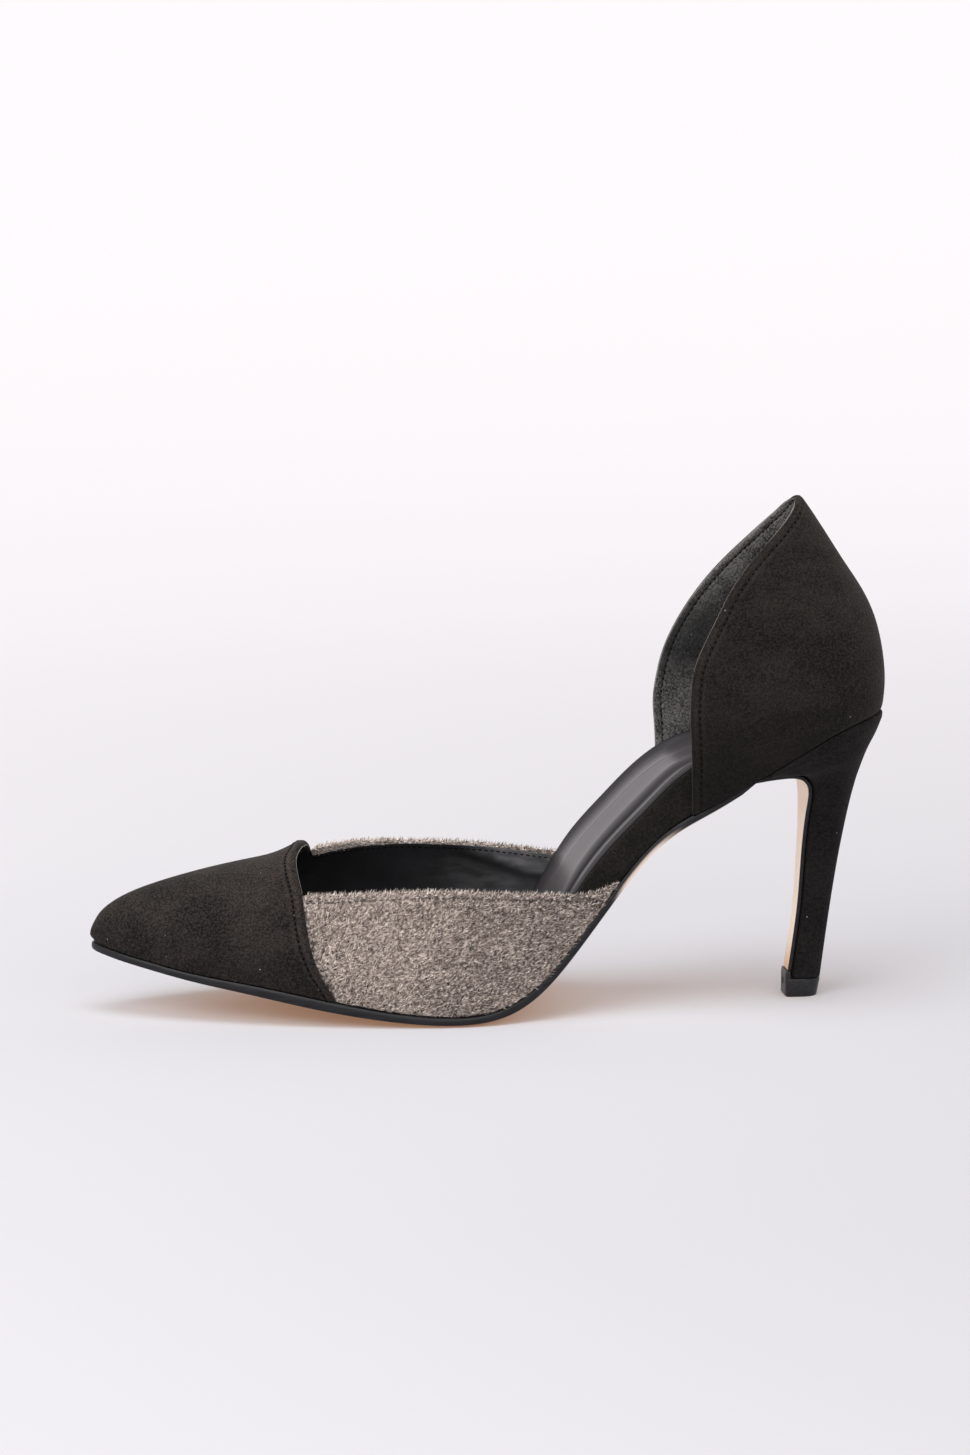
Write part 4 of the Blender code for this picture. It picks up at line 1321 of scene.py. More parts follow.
@dataclass
class Vamp:
    """Grey suede front part with its folded topline, and the black lining inside it."""

    inset: float = 1.3
    wall: float = 1.05
    lining_gap: float = 0.05
    lining_wall: float = 0.5
    lining_front: float = 57.0
    toe_reach: float = 20.0         # stations of the lining crowded towards the toe tip
    fold: float = 1.7               # suede turned over the topline to the inside
    front_fold: float = 1.6         # more of it near the cap
    front: float = 52.0
    trim: float = 0.7               # how far the skin ends under the topline, where its fibres end
    tucked: float = 2.2             # and more of it under the cap
    seam: float = 2.6               # stitch row below the topline
    seam_depth: float = 0.25
    seam_ends: tuple[float, float] = (1.5, 9.0)     # distances from the cap's edge and the vamp's end
    lining_seam: float = 1.2        # inner stitch row below the turned suede
    lining_ends: tuple[float, float] = (62.5, 12.0)     # its first station, distance from the vamp's end
    stitching: Stitching = field(default_factory=lambda: Stitching(1.8, 1.3, 0.36, 0.34))

    def fold_at(self, stations: np.ndarray, side: Side) -> np.ndarray:
        """Return how far the suede is turned in over the topline, behind the cap's edge."""
        edge = float(CAP_EDGE.at(side.column, 0.6))
        turned = self.fold + self.front_fold * smoothstep(98, 64, stations)
        return turned * smoothstep(edge - 0.6, edge + 0.4, stations)

    def band(
        self, side: Side, inset: float, wall: float, folded: bool, ends: tuple[float, float],
    ) -> dict[str, np.ndarray]:
        """Return one side's band of a wall between the feather line and the topline.

        Args:
            side: Side of the foot.
            inset: Distance of its outer face inside the upper's surface.
            wall: Thickness.
            folded: Whether its upper edge is under the suede's turned edge.
            ends: First and last station.

        Returns:
            Stations, places around of the outer face, and the outer and inner faces as grids.
        """
        stations = np.linspace(*ends, 150)
        share = 1 - (1 - np.linspace(0, 1, 40)) ** 1.3
        edge = float(CAP_EDGE.at(side.column, 0.6))
        lower = self.trim + self.tucked * smoothstep(edge + 0.2, edge - 0.8, stations)
        drop_by = self.fold_at(stations, side) if folded else lower
        height = TOPLINE.at(side.column, stations) - drop_by - wall / 2
        faces = []
        for depth in (inset, inset + wall):
            top = LAST.around_at(stations, side, height, depth)
            around = top[:, None] * share[None, :]
            faces.append((around, LAST.upper(stations[:, None], side, around, depth)))
        (around, outer), (_, inner) = faces
        return {"stations": stations, "around": around, "outer": outer, "inner": inner}

    def suede(self, side: Side, finish: Material) -> tuple[Object, Line]:
        """Return the suede of one side, and its stitch line with normals."""
        band = self.band(side, self.inset, self.wall, False, (self.front, LAST.vamp_end))
        outer, inner = band["outer"], band["inner"]
        normals = grid_normals(outer) * side.value
        below = TOPLINE.at(side.column, band["stations"])[:, None] - outer[..., 2]
        outer = outer - normals * (self.seam_depth * bump(self.seam, 0.55, below))[..., None]
        rings, roll = folded_wall(outer, inner)
        clear = band["stations"][:, None] - CAP_EDGE.at(side.column, band["around"])
        shown = np.clip(clear - 0.3, 0, 1) * (1 - 0.7 * bump(self.seam, 0.45, below))
        inside = TOPLINE.at(side.column, band["stations"])[:, None] - inner[:, ::-1, 2]
        turned = self.fold_at(band["stations"], side)[:, None] + 0.2
        folded = (inside < turned) * np.clip(clear[:, -1:] - 0.3, 0, 1)
        shown *= 0.35 + 0.65 * smoothstep(0.0, 1.6, below)
        mask = np.concatenate([shown, np.repeat(shown[:, -1:], roll.shape[1], axis=1), folded * 0.8], axis=1)
        piece = make_shell(f"vamp_suede_{side.column}", rings, [finish], masks={"nap": mask})
        first, short = self.seam_ends
        stations = np.linspace(float(CAP_EDGE.at(side.column, 0.5)) + first, LAST.vamp_end - short, 80)
        return piece, self.seam_line(side, stations, self.inset, self.seam, 1)

    def seam_line(
        self, side: Side, stations: np.ndarray, inset: float, below: Numbers, outward: int,
    ) -> Line:
        """Return a line under the topline on a face of the wall, with normals.

        Args:
            side: Side of the foot.
            stations: Places along the line.
            inset: Distance of the face inside the upper's surface.
            below: Distance under the topline.
            outward: 1 for normals that point out of the shoe, -1 into it.

        Returns:
            Points and unit normals.
        """
        height = TOPLINE.at(side.column, stations) - below
        around = LAST.around_at(stations, side, height, inset)
        line = LAST.upper(stations, side, around, inset)
        higher = LAST.upper(stations, side, around + 0.01, inset)
        along = unit(np.gradient(line, axis=0))
        normal = unit(np.cross(along, unit(higher - line)))
        return line, normal * outward * np.sign(normal[:, 1:2] * side.value)

    def lining(self, side: Side, finish: Material) -> tuple[Object, Line]:
        """Return the lining of one side, and its stitch line with normals."""
        inset = self.inset + self.wall + self.lining_gap
        band = self.band(side, inset, self.lining_wall, True, (self.lining_front, LAST.vamp_end - 1.2))
        outer, inner = band["outer"], band["inner"]
        wave = 0.35 * np.sin(band["stations"] / 5.5) * smoothstep(100, 125, band["stations"])
        ripple = wave[:, None] * np.sin(np.linspace(0, np.pi, inner.shape[1]))[None, :] ** 2
        inner = inner - np.array([0.0, side.value, 0.0]) * np.maximum(ripple, -0.2)[..., None]
        rings, roll = folded_wall(outer, inner, 5)
        below = TOPLINE.at(side.column, band["stations"])[:, None] - inner[..., 2]
        # Painted sheen under the topline, where the lining's bulges catch the light.
        painted_sheen = self.painted_sheen(band["stations"][:, None], below)
        plain = np.zeros((len(outer), outer.shape[1] + roll.shape[1]))
        masks = {Leather.rubbed: np.concatenate([plain, painted_sheen[:, ::-1]], axis=1)}
        piece = make_shell(f"vamp_lining_{side.column}", rings, [finish], masks=masks)
        stations = np.linspace(self.lining_ends[0], LAST.vamp_end - self.lining_ends[1], 80)
        below = self.fold_at(stations, side) + self.lining_seam
        return piece, self.seam_line(side, stations, inset + self.lining_wall, below, -1)

    @staticmethod
    def painted_sheen(along: np.ndarray, below: np.ndarray) -> np.ndarray:
        """Return the lining's painted sheen: most in a wedge under the topline that widens to the back."""
        depth = below - np.clip(1.5 + 0.25 * (along - 112), 1.0, 6.0)
        wedge = 0.95 * smoothstep(108, 124, along) * (1 - smoothstep(0.0, 3.0, depth))
        lower = 0.4 * smoothstep(88, 130, along) * smoothstep(3.0, 7.0, depth)
        return wedge * smoothstep(0.4, 1.6, below) + lower

    def toe_lining(self, finish: Material) -> Object:
        """Return the lining's arch inside the toe."""
        crowded = self.toe_reach * (np.arange(1, 16) / 16) ** 2
        stations = np.concatenate([crowded, np.linspace(self.toe_reach, self.lining_front + 0.5, 40)])
        around = np.linspace(0, 1, 24)
        faces = []
        outside = self.inset + self.wall + self.lining_gap
        for inset in (outside, outside + self.lining_wall):
            near = LAST.upper(stations[:, None], Side.LATERAL, around[None, :], inset)
            far = LAST.upper(stations[:, None], Side.MEDIAL, around[None, ::-1], inset)
            faces.append(np.concatenate([near, far[:, 1:]], axis=1))
        return make_shell("toe_lining", np.concatenate([faces[0], faces[1][:, ::-1]], axis=1), [finish])

    def build(self, finishes: Finishes, nap: Nap) -> dict[str, list[Object]]:
        """Build suede, fibres, lining and stitches.

        Args:
            finishes: Materials by name.
            nap: Fibres of the suede.

        Returns:
            Objects by what they are.
        """
        made = {"suede": [], "nap": [], "lining": [self.toe_lining(finishes["lining"])], "stitches": []}
        seams, lining_seams = [], []
        for side in Side:
            suede, seam = self.suede(side, finishes["grey"])
            lining, lining_seam = self.lining(side, finishes["lining"])
            made["suede"].append(suede)
            made["lining"].append(lining)
            made["nap"].append(nap.grow(f"vamp_nap_{side.column}", suede, finishes["fibre"]))
            seams.append(seam)
            lining_seams.append(lining_seam)
        for name, rows, thread in (
            ("vamp_stitches", seams, "grey_thread"), ("lining_stitches", lining_seams, "black_thread")):
            lines, ups = zip(*rows)
            made["stitches"].append(self.stitching.sew(name, lines, ups, finishes[thread]))
        return made


@dataclass
class ToeCap:
    """Black suede cap over the pointed toe, with a folded and stitched rear edge."""

    wall: float = 1.0
    seam: float = 3.0               # stitch row in front of the rear edge
    seam_depth: float = 0.28
    fold: float = 0.3               # extra thickness of the folded edge
    spacing: float = 1.6
    crest: float = 60.5             # station behind which the cap rises no more
    curl: float = 0.9               # extra thickness inwards of its edge over the instep
    stitching: Stitching = field(default_factory=lambda: Stitching(1.75, 1.1, 0.72, 0.5))
    edging: Cording = field(default_factory=lambda: Cording(0.2))
    edging_ends: tuple[float, float] = (0.5, 0.68)  # places around, outer and inner side, between which the light cord lies where the edge catches light

    def face(
        self, side: Side, inset: Numbers, around: np.ndarray, share: np.ndarray,
    ) -> tuple[np.ndarray, np.ndarray]:
        """Return a face of the cap on one side.

        Args:
            side: Side of the foot.
            inset: Distance inside the upper's surface.
            around: Places around the section, a row each.
            share: Places from the toe tip to the rear edge, a column each.

        Returns:
            Points, and their distances in front of the rear edge.
        """
        edge = CAP_EDGE.at(side.column, around)[:, None]
        station = (edge - self.wall / 2) * share[None, :] ** self.spacing
        points = LAST.upper(station, side, around[:, None], inset)
        base = LAST.sole_top(points[..., 0], points[..., 1])
        crest = RIDGE.at("height", np.minimum(station, self.crest)) - base
        points[..., 2] = base + (points[..., 2] - base) * crest / (RIDGE.at("height", station) - base)
        return points, edge - station

    def build(self, finishes: Finishes) -> Pieces:
        """Build the cap, its stitches and the light line of its cut edge.

        Args:
            finishes: Materials by name.

        Returns:
            Build the cap, its stitches and the light cord of its cut edge, which stands for the edge's
            binding and its painted highlight.
        """
        around = np.linspace(0, 1, 60)
        share = np.concatenate([np.linspace(0, 0.92, 70), np.linspace(0.92, 1, 26)[1:]])
        rows, seams, ups, rims, rubbed = [], [], [], [], []
        for side in Side:
            places = around if side is Side.LATERAL else around[::-1]
            outer, before = self.face(side, 0.0, places, share)
            curled = smoothstep(0.45, 0.8, places)[:, None] * smoothstep(4.0, 0.5, before)
            inner, _ = self.face(side, self.wall + self.curl * curled, places, share)
            normals = -grid_normals(outer)
            normals *= np.sign(np.sum(normals * (outer - inner), axis=2, keepdims=True) + 1e-9)
            raised = self.fold * smoothstep(self.seam + 0.5, self.seam - 0.4, before)
            sunk = self.seam_depth * bump(self.seam, 0.6, before)
            outer = outer + normals * (raised - sunk)[..., None]
            rings, roll = folded_wall(outer, inner)
            rows.append(rings)
            # Painted highlight along the puffed strips on both sides of the cap's stitch row.
            worn = bump(self.seam - 1.1, 0.7, before) + 0.7 * bump(self.seam + 0.9, 0.5, before)
            plain = np.zeros((len(places), roll.shape[1] + inner.shape[1]))
            rubbed.append(np.concatenate([worn, plain], axis=1))
            near = np.argmin(np.abs(before - self.seam), axis=1)
            each = np.arange(len(places))
            seams.append((outer + normals * 0.1)[each, near])
            ups.append(normals[each, near])
            # Painted highlight: the light cord lies only over the top of the edge, where it catches light.
            shown = places >= self.edging_ends[side is Side.MEDIAL]
            rims.append(roll[shown, 4])
        rings, line, normal, rim, worn = (
            np.concatenate([near, far[1:]]) for near, far in (rows, seams, ups, rims, rubbed))
        cap = make_shell("toe_cap_suede", rings, [finishes["cap"]], masks={Suede.worn: worn}, closed=False)
        stitches = self.stitching.sew("cap_stitches", [line], [normal], finishes["black_thread"])
        edge = self.edging.lay("cap_edge", [rim], finishes["binding_and_glint"])
        return {"toe_cap": cap, "stitches": stitches, "edge": edge}


@dataclass
class Counter:
    """Black suede heel part with a lining, front edges bound with a light cord that is partly a painted
    highlight, and a peak at the back.
    """

    wall: float = 2.0
    seam: float = 2.7               # stitch row behind the front edge, outside
    inner_seam: float = 2.4         # and inside
    seam_top: float = 3.5           # distance under the peak where both rows end
    seam_depth: float = 0.28
    puff: float = 0.45              # lining standing in behind the inner stitches
    tuck: float = 0.8               # lower edge turning in over the seam to the heel
    peak_round: float = 2.4
    lowest: float = 54.0            # height under which nothing of it lies
    seat: float = 75.0              # height where the search for its lower edge starts
    stitching: Stitching = field(default_factory=lambda: Stitching(1.9, 1.0, 0.54, 0.44))
    edging: Cording = field(default_factory=lambda: Cording(0.14))
    edging_low: float = 100.0       # height down to which the near edge gets its light cord, laid only where the edge catches light
    steps: Sequence[float] = (
        0, 0.3, 0.6, 0.9, 1.2, 1.5, 1.8, 2.1, 2.4, 2.8, 3.2, 3.7, 4.4, 5.2, 6.2, 7.4, 8.8)
    half_columns: int = 52

    def level_line(self, level: float) -> tuple[np.ndarray, np.ndarray]:
        """Return points in plan along a level and their distances from the nearest front edge.

        Args:
            level: Height of the level.

        Returns:
            Points from the outer front edge round to the inner one, and distances square to the edge.
        """
        names = ("back", "centre", "half", "close")
        back, centre, half, close = (float(COUNTER.at(name, level)) for name in names)
        bend = np.sin(np.linspace(0, np.pi / 2, 160))
        halves, stretch = [], []
        for side in Side:
            slope = float(COUNTER.at(side.column, level + 0.5) - COUNTER.at(side.column, level - 0.5))
            stretch.append(np.sqrt(1 + slope**2))
            front = min(float(COUNTER.at(side.column, level)) + self.wall / 2 * stretch[-1], back - 0.1)
            along = front + (back - front) * bend
            ahead = np.maximum(centre - along, 0) / LAST.closing_reach
            behind = np.clip((along - centre) / (back - centre), 0, 1)
            reach = half * (1 - close * ahead**2) * (1 - behind**LAST.heel_power) ** (1 / LAST.heel_power)
            halves.append(np.stack([along, side.value * reach], axis=1))
        line = np.concatenate([halves[0], halves[1][-2::-1]])
        run = np.concatenate([[0], np.cumsum(np.linalg.norm(np.diff(line, axis=0), axis=1))])
        middle = run[len(bend) - 1]
        near = self.spaced(middle, stretch[0])
        far = self.spaced(run[-1] - middle, stretch[1])[-2::-1]
        places = np.concatenate([near, run[-1] - far])
        points = np.stack([np.interp(places, run, line[:, axis]) for axis in (0, 1)], axis=1)
        return points, np.concatenate([near / stretch[0], far / stretch[1]]) + self.wall / 2

    def spaced(self, length: float, stretch: float) -> np.ndarray:
        """Return places along half a level: fine steps from the front edge, then even ones to the back."""
        fine = len(self.steps)
        first = np.minimum(np.array(self.steps) * stretch, length * np.arange(fine) / self.half_columns)
        return np.concatenate([first, np.linspace(first[-1], length, self.half_columns + 2 - fine)[1:]])

    def faces(self) -> tuple[np.ndarray, np.ndarray, np.ndarray]:
        """Return the outer face, the inner face, and distances from the front edge."""
        levels = np.linspace(self.lowest, LAST.peak - self.peak_round, 170)
        lines = [self.level_line(level) for level in levels]
        plan = np.array([points for points, _ in lines])
        lead = np.array([distance for _, distance in lines])
        columns = range(plan.shape[1])

        def at(values: np.ndarray, heights: np.ndarray) -> np.ndarray:
            """Return each column's value at its own height."""
            return np.array([np.interp(heights[k], levels, values[:, k]) for k in columns])

        lower = np.full(plan.shape[1], self.seat)
        for _ in range(14):
            lower = LAST.sole_top(at(plan[..., 0], lower), at(plan[..., 1], lower)) + LAST.gap
        grid, edge = [], []
        for share in 1 - (1 - np.linspace(0, 1, 80)) ** 1.25:
            heights = lower + (levels[-1] - lower) * share
            grid.append(np.stack([at(plan[..., 0], heights), at(plan[..., 1], heights), heights], axis=1))
            edge.append(at(lead, heights))
        outer, edge = np.array(grid), np.array(edge)
        normals = grid_normals(outer)
        above = outer[..., 2] - lower[None, :]
        sunk = self.seam_depth * bump(self.seam, 0.6, edge) + self.tuck * np.exp(-above / 0.7)
        settled = smoothstep(1.5, 8.0, LAST.peak - outer[..., 2])
        puffed = self.puff * smoothstep(self.inner_seam, self.inner_seam + 3.0, edge) * settled
        dented = 0.5 * bump(self.inner_seam, 0.3, edge)
        inner = outer - normals * (self.wall + puffed - dented)[..., None]
        return outer - normals * sunk[..., None], inner, edge

    def build(self, finishes: Finishes) -> Pieces:
        """Build the counter with its lining, stitches and the light cord of its bound edge, which is partly a
        painted highlight.

        Args:
            finishes: Materials by name.

        Returns:
            Objects by what they are.
        """
        outer, inner, edge = self.faces()
        ending = rolled_edge(outer[:, -1], inner[:, -1], unit(outer[:, -1] - outer[:, -2]), 8)
        start = rolled_edge(inner[:, 0], outer[:, 0], unit(outer[:, 0] - outer[:, 1]), 8)
        rings = np.concatenate([outer, ending, inner[:, ::-1], start], axis=1)
        columns, extra = outer.shape[1], ending.shape[1]
        last = rings[-1]
        partner = np.concatenate([inner[-1], start[-1], outer[-1][::-1], ending[-1]])
        middle = (last + partner[:len(last)]) / 2
        centre = middle.mean(axis=0)
        tops = []
        for rise in (0.12, 0.3, 0.5, 0.68, 0.84, 0.94, 0.99):
            narrow = np.sqrt(1 - rise)
            ring = centre + (middle - centre + (last - middle) * narrow) * narrow
            ring[:, 2] = last[:, 2] + self.peak_round * rise
            tops.append(ring)
        rings = np.concatenate([rings, np.array(tops)])
        strips = np.zeros(rings.shape[1], int)
        strips[columns + extra // 2:2 * columns + extra + extra // 2] = 1
        worn = np.zeros(rings.shape[:2])
        # Painted highlight along the puffed strips beside the counter's outer stitch row.
        worn[:len(edge), :columns] = bump(self.seam - 1.1, 0.6, edge) + 0.7 * bump(self.seam + 0.9, 0.5, edge)
        leathers = [finishes["counter"], finishes["counter_lining"]]
        piece = make_shell("counter_suede", rings, leathers, strips, masks={Suede.worn: worn})
        outside = self.rows(outer, edge, self.seam, grid_normals(outer), 0.1)
        inside = self.rows(inner, edge, self.inner_seam, -grid_normals(inner), 0.05)
        made = {"counter": piece}
        for name, (lines, ups) in (("counter_stitches", outside), ("counter_lining_stitches", inside)):
            made[name] = self.stitching.sew(name, lines, ups, finishes["black_thread"])
        # Painted highlight: on the near edge the light cord lies only up high, where it catches light.
        rims = [ending[:, 5], start[start[:, 2, 2] > self.edging_low, 2]]
        made["counter_edge"] = self.edging.lay("counter_edge", rims, finishes["binding_and_glint"])
        return made

    def rows(
        self, face: np.ndarray, edge: np.ndarray, wanted: float, normals: np.ndarray, raised: float,
    ) -> tuple[list[np.ndarray], list[np.ndarray]]:
        """Return stitch lines along both front edges of a face.

        Args:
            face: Points of the face.
            edge: Their distances from the front edge.
            wanted: Distance of the row from the edge.
            normals: Unit normals that point away from the wall.
            raised: Height of the thread's middle over the face.

        Returns:
            Lines and normals.
        """
        half = face.shape[1] // 2
        keep = face[:, half, 2] < LAST.peak - self.seam_top
        lines, ups = [], []
        for part in (slice(0, half), slice(half + 1, None)):
            near = np.argmin(np.abs(edge[:, part] - wanted), axis=1)
            each = np.arange(len(face))
            line = (face + normals * raised)[:, part][each, near]
            lines.append(line[keep][2:])
            ups.append(normals[:, part][each, near][keep][2:])
        return lines, ups


@dataclass
class Heel:
    """Suede-covered stiletto heel with its seat edge, and the glossy tip under it."""

    columns: int = 72
    seat_proud: float = 0.5
    seat_front: float = 196.0
    seat_edge: Sequence[tuple[float, float]] = ((1.1, 0.05), (0.55, 0.0), (0.2, 0.2), (0.0, 0.7))
    tip_edge: Sequence[tuple[float, float]] = (     # height, and how far the tip is set in there
        (0.0, 0.35), (0.05, 0.15), (0.15, 0.05), (0.4, 0.0), (2.5, 0.0), (5.0, 0.0), (5.3, 0.08), (5.5, 0.3))
    tip_front: float = 206.4
    tip_back: float = 216.3
    tip_half: float = 4.8
    tip_lip: float = 7.8            # height of the plate in front of the tip
    lip_faces: tuple[float, float] = (206.2, 207.9)
    dimple: float = 4.3             # its height on the plate

    def ring(self, sizes: dict[str, float], on_seat: bool = False) -> np.ndarray:
        """Return a closed ring: flat in front, round behind, level or sloping up to the back.

        Args:
            sizes: Front and back edge with their heights, half width, centre and power.
            on_seat: Whether the heights follow the sole.

        Returns:
            Points, mirrored about the middle of the ring's order.
        """
        angle = 2 * np.pi * (np.arange(self.columns) + 0.5) / self.columns
        cosine, sine = np.cos(angle), np.sin(angle)
        widest = sizes["front"] + sizes["centre"] * (sizes["back"] - sizes["front"])
        roundness = 2 / np.where(cosine > 0, LAST.heel_power, sizes["power"])
        reach = np.where(cosine > 0, sizes["back"] - widest, sizes["front"] - widest)
        station = widest + reach * np.abs(cosine) ** roundness
        y = sizes["half"] * np.sign(sine) * np.abs(sine) ** roundness
        slope = (sizes["back_height"] - sizes["front_height"]) / (sizes["back"] - sizes["front"])
        height = sizes["front_height"] + slope * (station - sizes["front"])
        return np.stack([station, y, LAST.sole_top(station, y) if on_seat else height], axis=1)

    def stem_rings(self) -> np.ndarray:
        """Return rings of the heel from the tip up to the seat, whose edge stands a little proud."""
        names = ("front", "front_height", "back", "back_height", "half", "centre", "power")
        places = np.concatenate([np.linspace(0, 4.6, 46), np.linspace(4.6, HEEL_RINGS.places[-1], 40)[1:]])
        rings = [self.ring({name: float(HEEL_RINGS.at(name, place)) for name in names}) for place in places]
        back = LAST.heel_back + self.seat_proud
        half = float(SOLE.at("lateral", LAST.heel_centre))
        for low, small in self.seat_edge:
            ring = self.ring({
                "front": self.seat_front + small, "back": back - small, "half": half - small, "power": 9.0,
                "front_height": 0.0, "back_height": 0.0,
                "centre": (LAST.heel_centre - self.seat_front) / (back - self.seat_front)}, on_seat=True)
            front_share = np.clip((ring[:, 0] - self.seat_front) / 10.0, 0.0, 1.0)
            ring[:, 2] -= low * (0.25 + 0.75 * front_share)
            rings.append(ring)
        return np.array(rings)

    def tip_rings(self) -> np.ndarray:
        """Return rings of the tip, rounded at its lower and upper edge."""
        rings = []
        for level, small in self.tip_edge:
            share = level / self.tip_edge[-1][0]
            rings.append(self.ring({
                "front": self.tip_front + 0.1 * share + small, "back": self.tip_back + 1.1 * share - small,
                "half": self.tip_half + 0.1 * share - small, "front_height": level, "back_height": level,
                "centre": 0.45, "power": 9.0}))
        return np.array(rings)

    def lip(self, finish: Material) -> Object:
        """Return the plate in front of the tip, with its small round dimple."""
        across = np.linspace(-1, 1, 31)
        rise = np.linspace(0, 1, 27)
        y = np.sign(across) * (4.6 - 0.5 * rise[:, None] ** 4) * np.abs(across)
        z = 0.35 + (self.tip_lip - 0.35) * rise[:, None] + np.zeros_like(y)
        rounding = 0.35 * np.maximum(np.abs(across)[None, :], rise[:, None]) ** 10
        hole = smoothstep(1.05, 0.8, np.hypot(y, z - self.dimple))
        front = np.stack([self.lip_faces[0] + rounding + 0.9 * hole, y, z], axis=2)
        back = np.stack([self.lip_faces[1] - rounding * 0.6, y, z], axis=2)
        return make_shell("tip_lip", np.concatenate([front, back[:, ::-1]], axis=1), [finish])

    def build(self, finishes: Finishes) -> Pieces:
        """Build the heel and its tip.

        Args:
            finishes: Materials by name.

        Returns:
            Objects by what they are.
        """
        heel = make_shell("heel_suede", self.stem_rings(), [finishes["heel"]])
        tip = make_shell("heel_tip", self.tip_rings(), [finishes["tip"]])
        return {"heel": heel, "tip": tip, "lip": self.lip(finishes["tip"])}


class LightKind(Enum):
    """What a studio light is for."""

    KEY = "key"
    TOP = "top"
    FILL = "fill"


@dataclass(frozen=True)
class Softbox:
    """A rectangular studio light that faces the shoe."""

    kind: LightKind
    place: Place
    width: float
    height: float
    power: float
    colour: Colour = (1.0, 1.0, 1.0)
    target: Place = (0.0, 0.0, 0.05)

    def hang(self) -> Object:
        """Return the light in its place."""
        lamp = bpy.data.lights.new(f"light_{self.kind.value}", "AREA")
        lamp.shape = "RECTANGLE"
        lamp.size = self.width
        lamp.size_y = self.height
        lamp.energy = self.power
        lamp.color = self.colour
        made = add_object(lamp.name, lamp)
        made.location = self.place
        made.rotation_euler = (Vector(self.target) - Vector(self.place)).to_track_quat("-Z", "Y").to_euler()
        return made


@dataclass
class Studio:
    """Camera, pale seamless floor and soft lights."""

    target: Place = (-0.0015, 0.0, 0.0825)
    distance: float = 1.2
    azimuth: float = 6.0
    elevation: float = 8.3
    focal_pixels: float = 4054.0
    sensor: float = 36.0
    floor: float = 2.2              # radius of the flat floor
    sweep: float = 1.0              # radius of the curve up to the wall
    wall: float = 2.6
    facets: int = 96                # of the floor's round outline
    world: float = 0.36             # strength of the light from all round
    lights: Sequence[Softbox] = (
        Softbox(LightKind.TOP, (-0.1, -0.3, 1.6), 1.3, 1.1, 18.0),
        Softbox(LightKind.KEY, (-0.95, -1.1, 1.2), 1.1, 1.0, 12.0, (1.0, 0.985, 0.965)),
        Softbox(LightKind.FILL, (0.1, -1.6, 0.85), 1.0, 0.8, 3.0),
    )

    def camera(self) -> Object:
        """Return the camera at the photograph's angle."""
        lens = bpy.data.cameras.new("camera")
        lens.sensor_width = self.sensor
        lens.lens = self.focal_pixels * self.sensor / max(IMAGE_WIDTH, IMAGE_HEIGHT)
        turn, rise = np.radians(self.azimuth), np.radians(self.elevation)
        look = Vector((np.sin(turn) * np.cos(rise), np.cos(turn) * np.cos(rise), -np.sin(rise)))
        made = add_object("camera", lens)
        made.location = Vector(self.target) - look * self.distance
        made.rotation_euler = look.to_track_quat("-Z", "Y").to_euler()
        bpy.context.scene.camera = made
        return made

    def backdrop(self, finish: Material) -> Object:
        """Return the floor, which curves up to a wall all round."""
        turn = np.linspace(0, np.pi / 2, 18)
        radius = np.concatenate([[0.25, 0.7, 1.4], self.floor + self.sweep * np.sin(turn)])
        height = np.concatenate([[0, 0, 0], self.sweep * (1 - np.cos(turn))])
        radius = np.append(radius, radius[-1])
        height = np.append(height, self.wall)
        count = self.facets
        angle = 2 * np.pi * np.arange(count) / count
        rings = np.stack([
            radius[:, None] * np.cos(angle), radius[:, None] * np.sin(angle),
            np.repeat(height[:, None], count, axis=1)], axis=2)
        faces = [tuple(range(count))]
        for row in range(len(radius) - 1):
            for k in range(count):
                low, after = row * count, (k + 1) % count
                faces.append((low + k, low + count + k, low + count + after, low + after))
        mesh = bpy.data.meshes.new("floor")
        mesh.from_pydata(rings.reshape(-1, 3).tolist(), [], faces)
        mesh.materials.append(finish)
        mesh.shade_smooth()
        return add_object("floor", mesh)

    def build(self) -> None:
        """Set up the camera, floor, lights and surroundings."""
        self.camera()
        self.backdrop(Backdrop().make())
        for light in self.lights:
            light.hang()
        scene = bpy.context.scene
        scene.world = bpy.data.worlds.new("studio")
        scene.world.use_nodes = True
        sky = scene.world.node_tree.nodes["Background"]
        sky.inputs["Color"].default_value = (1.0, 0.99, 0.995, 1.0)
        sky.inputs["Strength"].default_value = self.world
        scene.view_settings.view_transform = "Standard"


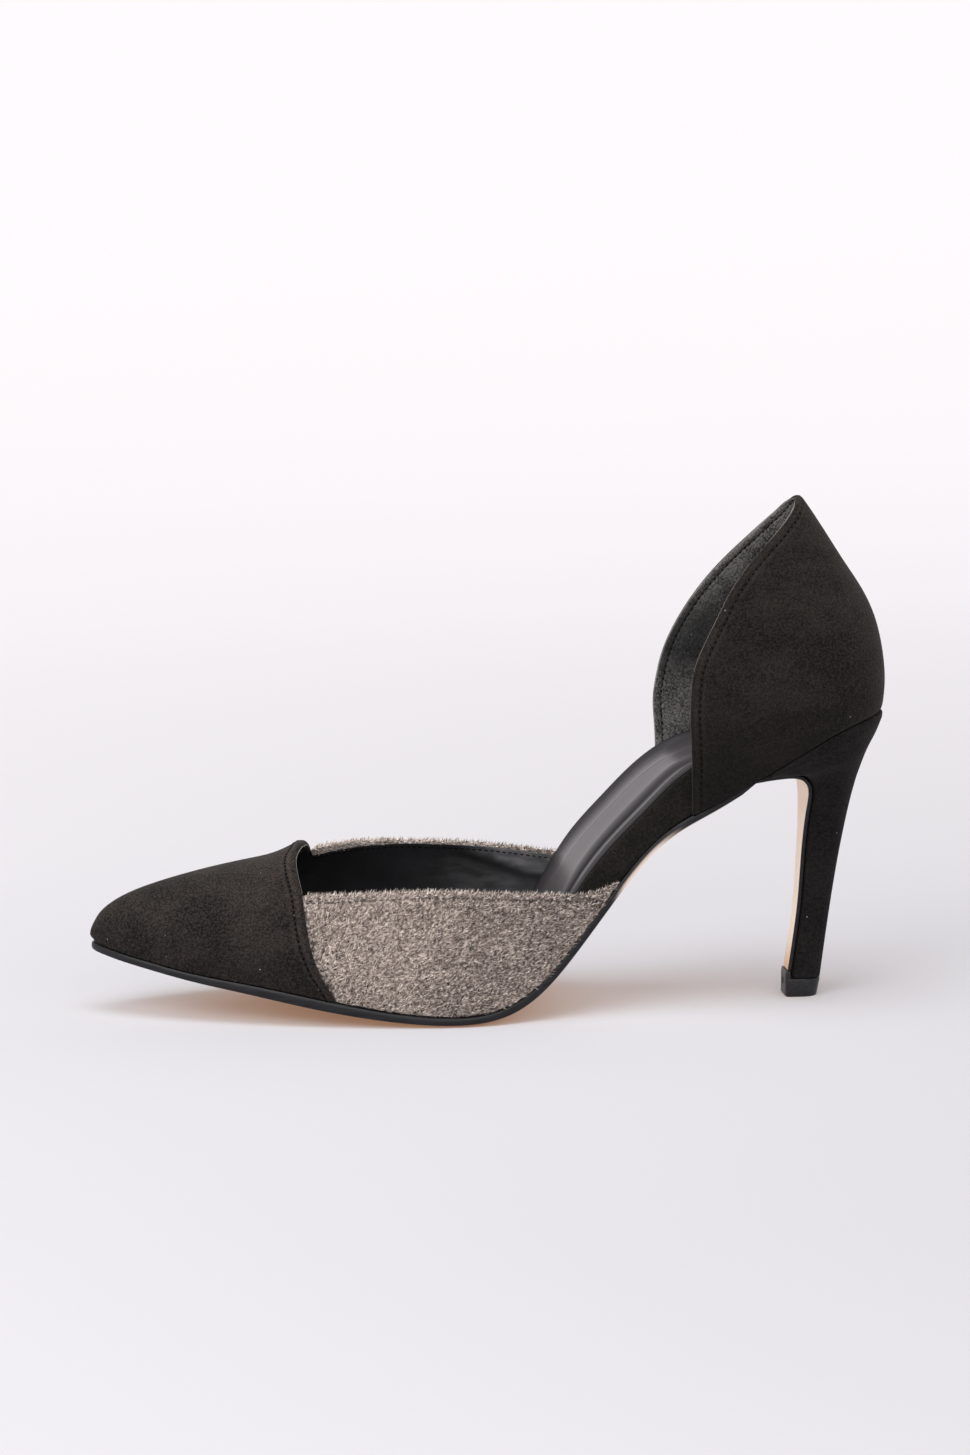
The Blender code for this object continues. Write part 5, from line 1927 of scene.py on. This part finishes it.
def make_finishes() -> Finishes:
    """Return all materials by name."""
    finishes = {
        # The cap, the counter and the counter's lining carry painted shade that changes with height.
        "cap": Suede("cap_suede", srgb(3, 3, 3), srgb(60, 53, 49), painted_shade_by_height=(10.0, 32.0, 0.7)),
        "counter": Suede("counter_suede", srgb(2, 2, 2), srgb(45, 40, 36), painted_shade_by_height=(74.0, 100.0, 0.5)),
        "heel": Suede("heel_suede", srgb(2, 2, 2), srgb(36, 33, 32), sheen=0.03),
        "insole": Suede("insole_suede", srgb(5, 5, 4), srgb(40, 36, 33)),
        "counter_lining": Suede(
            "counter_lining", srgb(24, 25, 26), srgb(134, 132, 129), 9.0, 0.6, 0.22, 0.2, (103.0, 85.0, 0.25),
            (109.0, 128.0)),
        "grey": NapGround(),
        "fibre": NapFibre(),
        "lining": Leather(
            "lining_leather", srgb(15, 15, 17), srgb(26, 26, 29), 0.28, waves=0.35, specular=0.7),
        "sock": SockLeather(),
        "sole": SoleLeather(),
        "edge": PaintedEdge(),
        "tip": Plastic("tip_plastic", srgb(15, 15, 17), srgb(34, 33, 36)),
        "binding_and_glint": Leather("edge_binding_and_glint", srgb(104, 99, 94), srgb(150, 144, 138), 0.55, 0.3, 0.02),
        "black_thread": Thread("black_thread", srgb(2, 2, 2), srgb(14, 13, 12)),
        "grey_thread": Thread("grey_thread", srgb(62, 55, 51), srgb(110, 101, 95)),
    }
    return {name: finish.make() for name, finish in finishes.items()}


def settle(piece: Object, slot: str, node: str | None = None) -> None:
    """Fix a piece to the shoe.

    Args:
        piece: The piece.
        slot: Not used.
        node: Solid that it stands for.
    """
    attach(piece, "root")
    if node:
        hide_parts(node)
    LOG.info("%s: %d faces", piece.name, len(piece.data.polygons))


def main() -> None:
    """Build the shoe piece by piece and set up the studio."""
    logging.basicConfig(level=logging.INFO, format="%(message)s")
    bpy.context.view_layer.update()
    Studio().build()
    finishes = make_finishes()
    bottom = Bottom().build(finishes)
    for node, slot in (("outsole", "sole_leather"), ("insole", "insole_suede"), ("sock", "sock_leather")):
        settle(bottom[node], slot, node)
    vamp = Vamp().build(finishes, Nap())
    for piece in vamp["suede"] + vamp["lining"]:
        settle(piece, "grey_suede", "vamp")
    for piece in vamp["nap"] + vamp["stitches"]:
        settle(piece, "grey_suede")
    for part, node in ((ToeCap(), "toe_cap"), (Counter(), "counter")):
        for name, piece in part.build(finishes).items():
            settle(piece, "black_suede", node if name == node else None)
    for name, piece in Heel().build(finishes).items():
        settle(piece, *(("heel_suede", "heel") if name == "heel" else ("tip_plastic", "top_piece")))


if __name__ == "__main__":
    main()
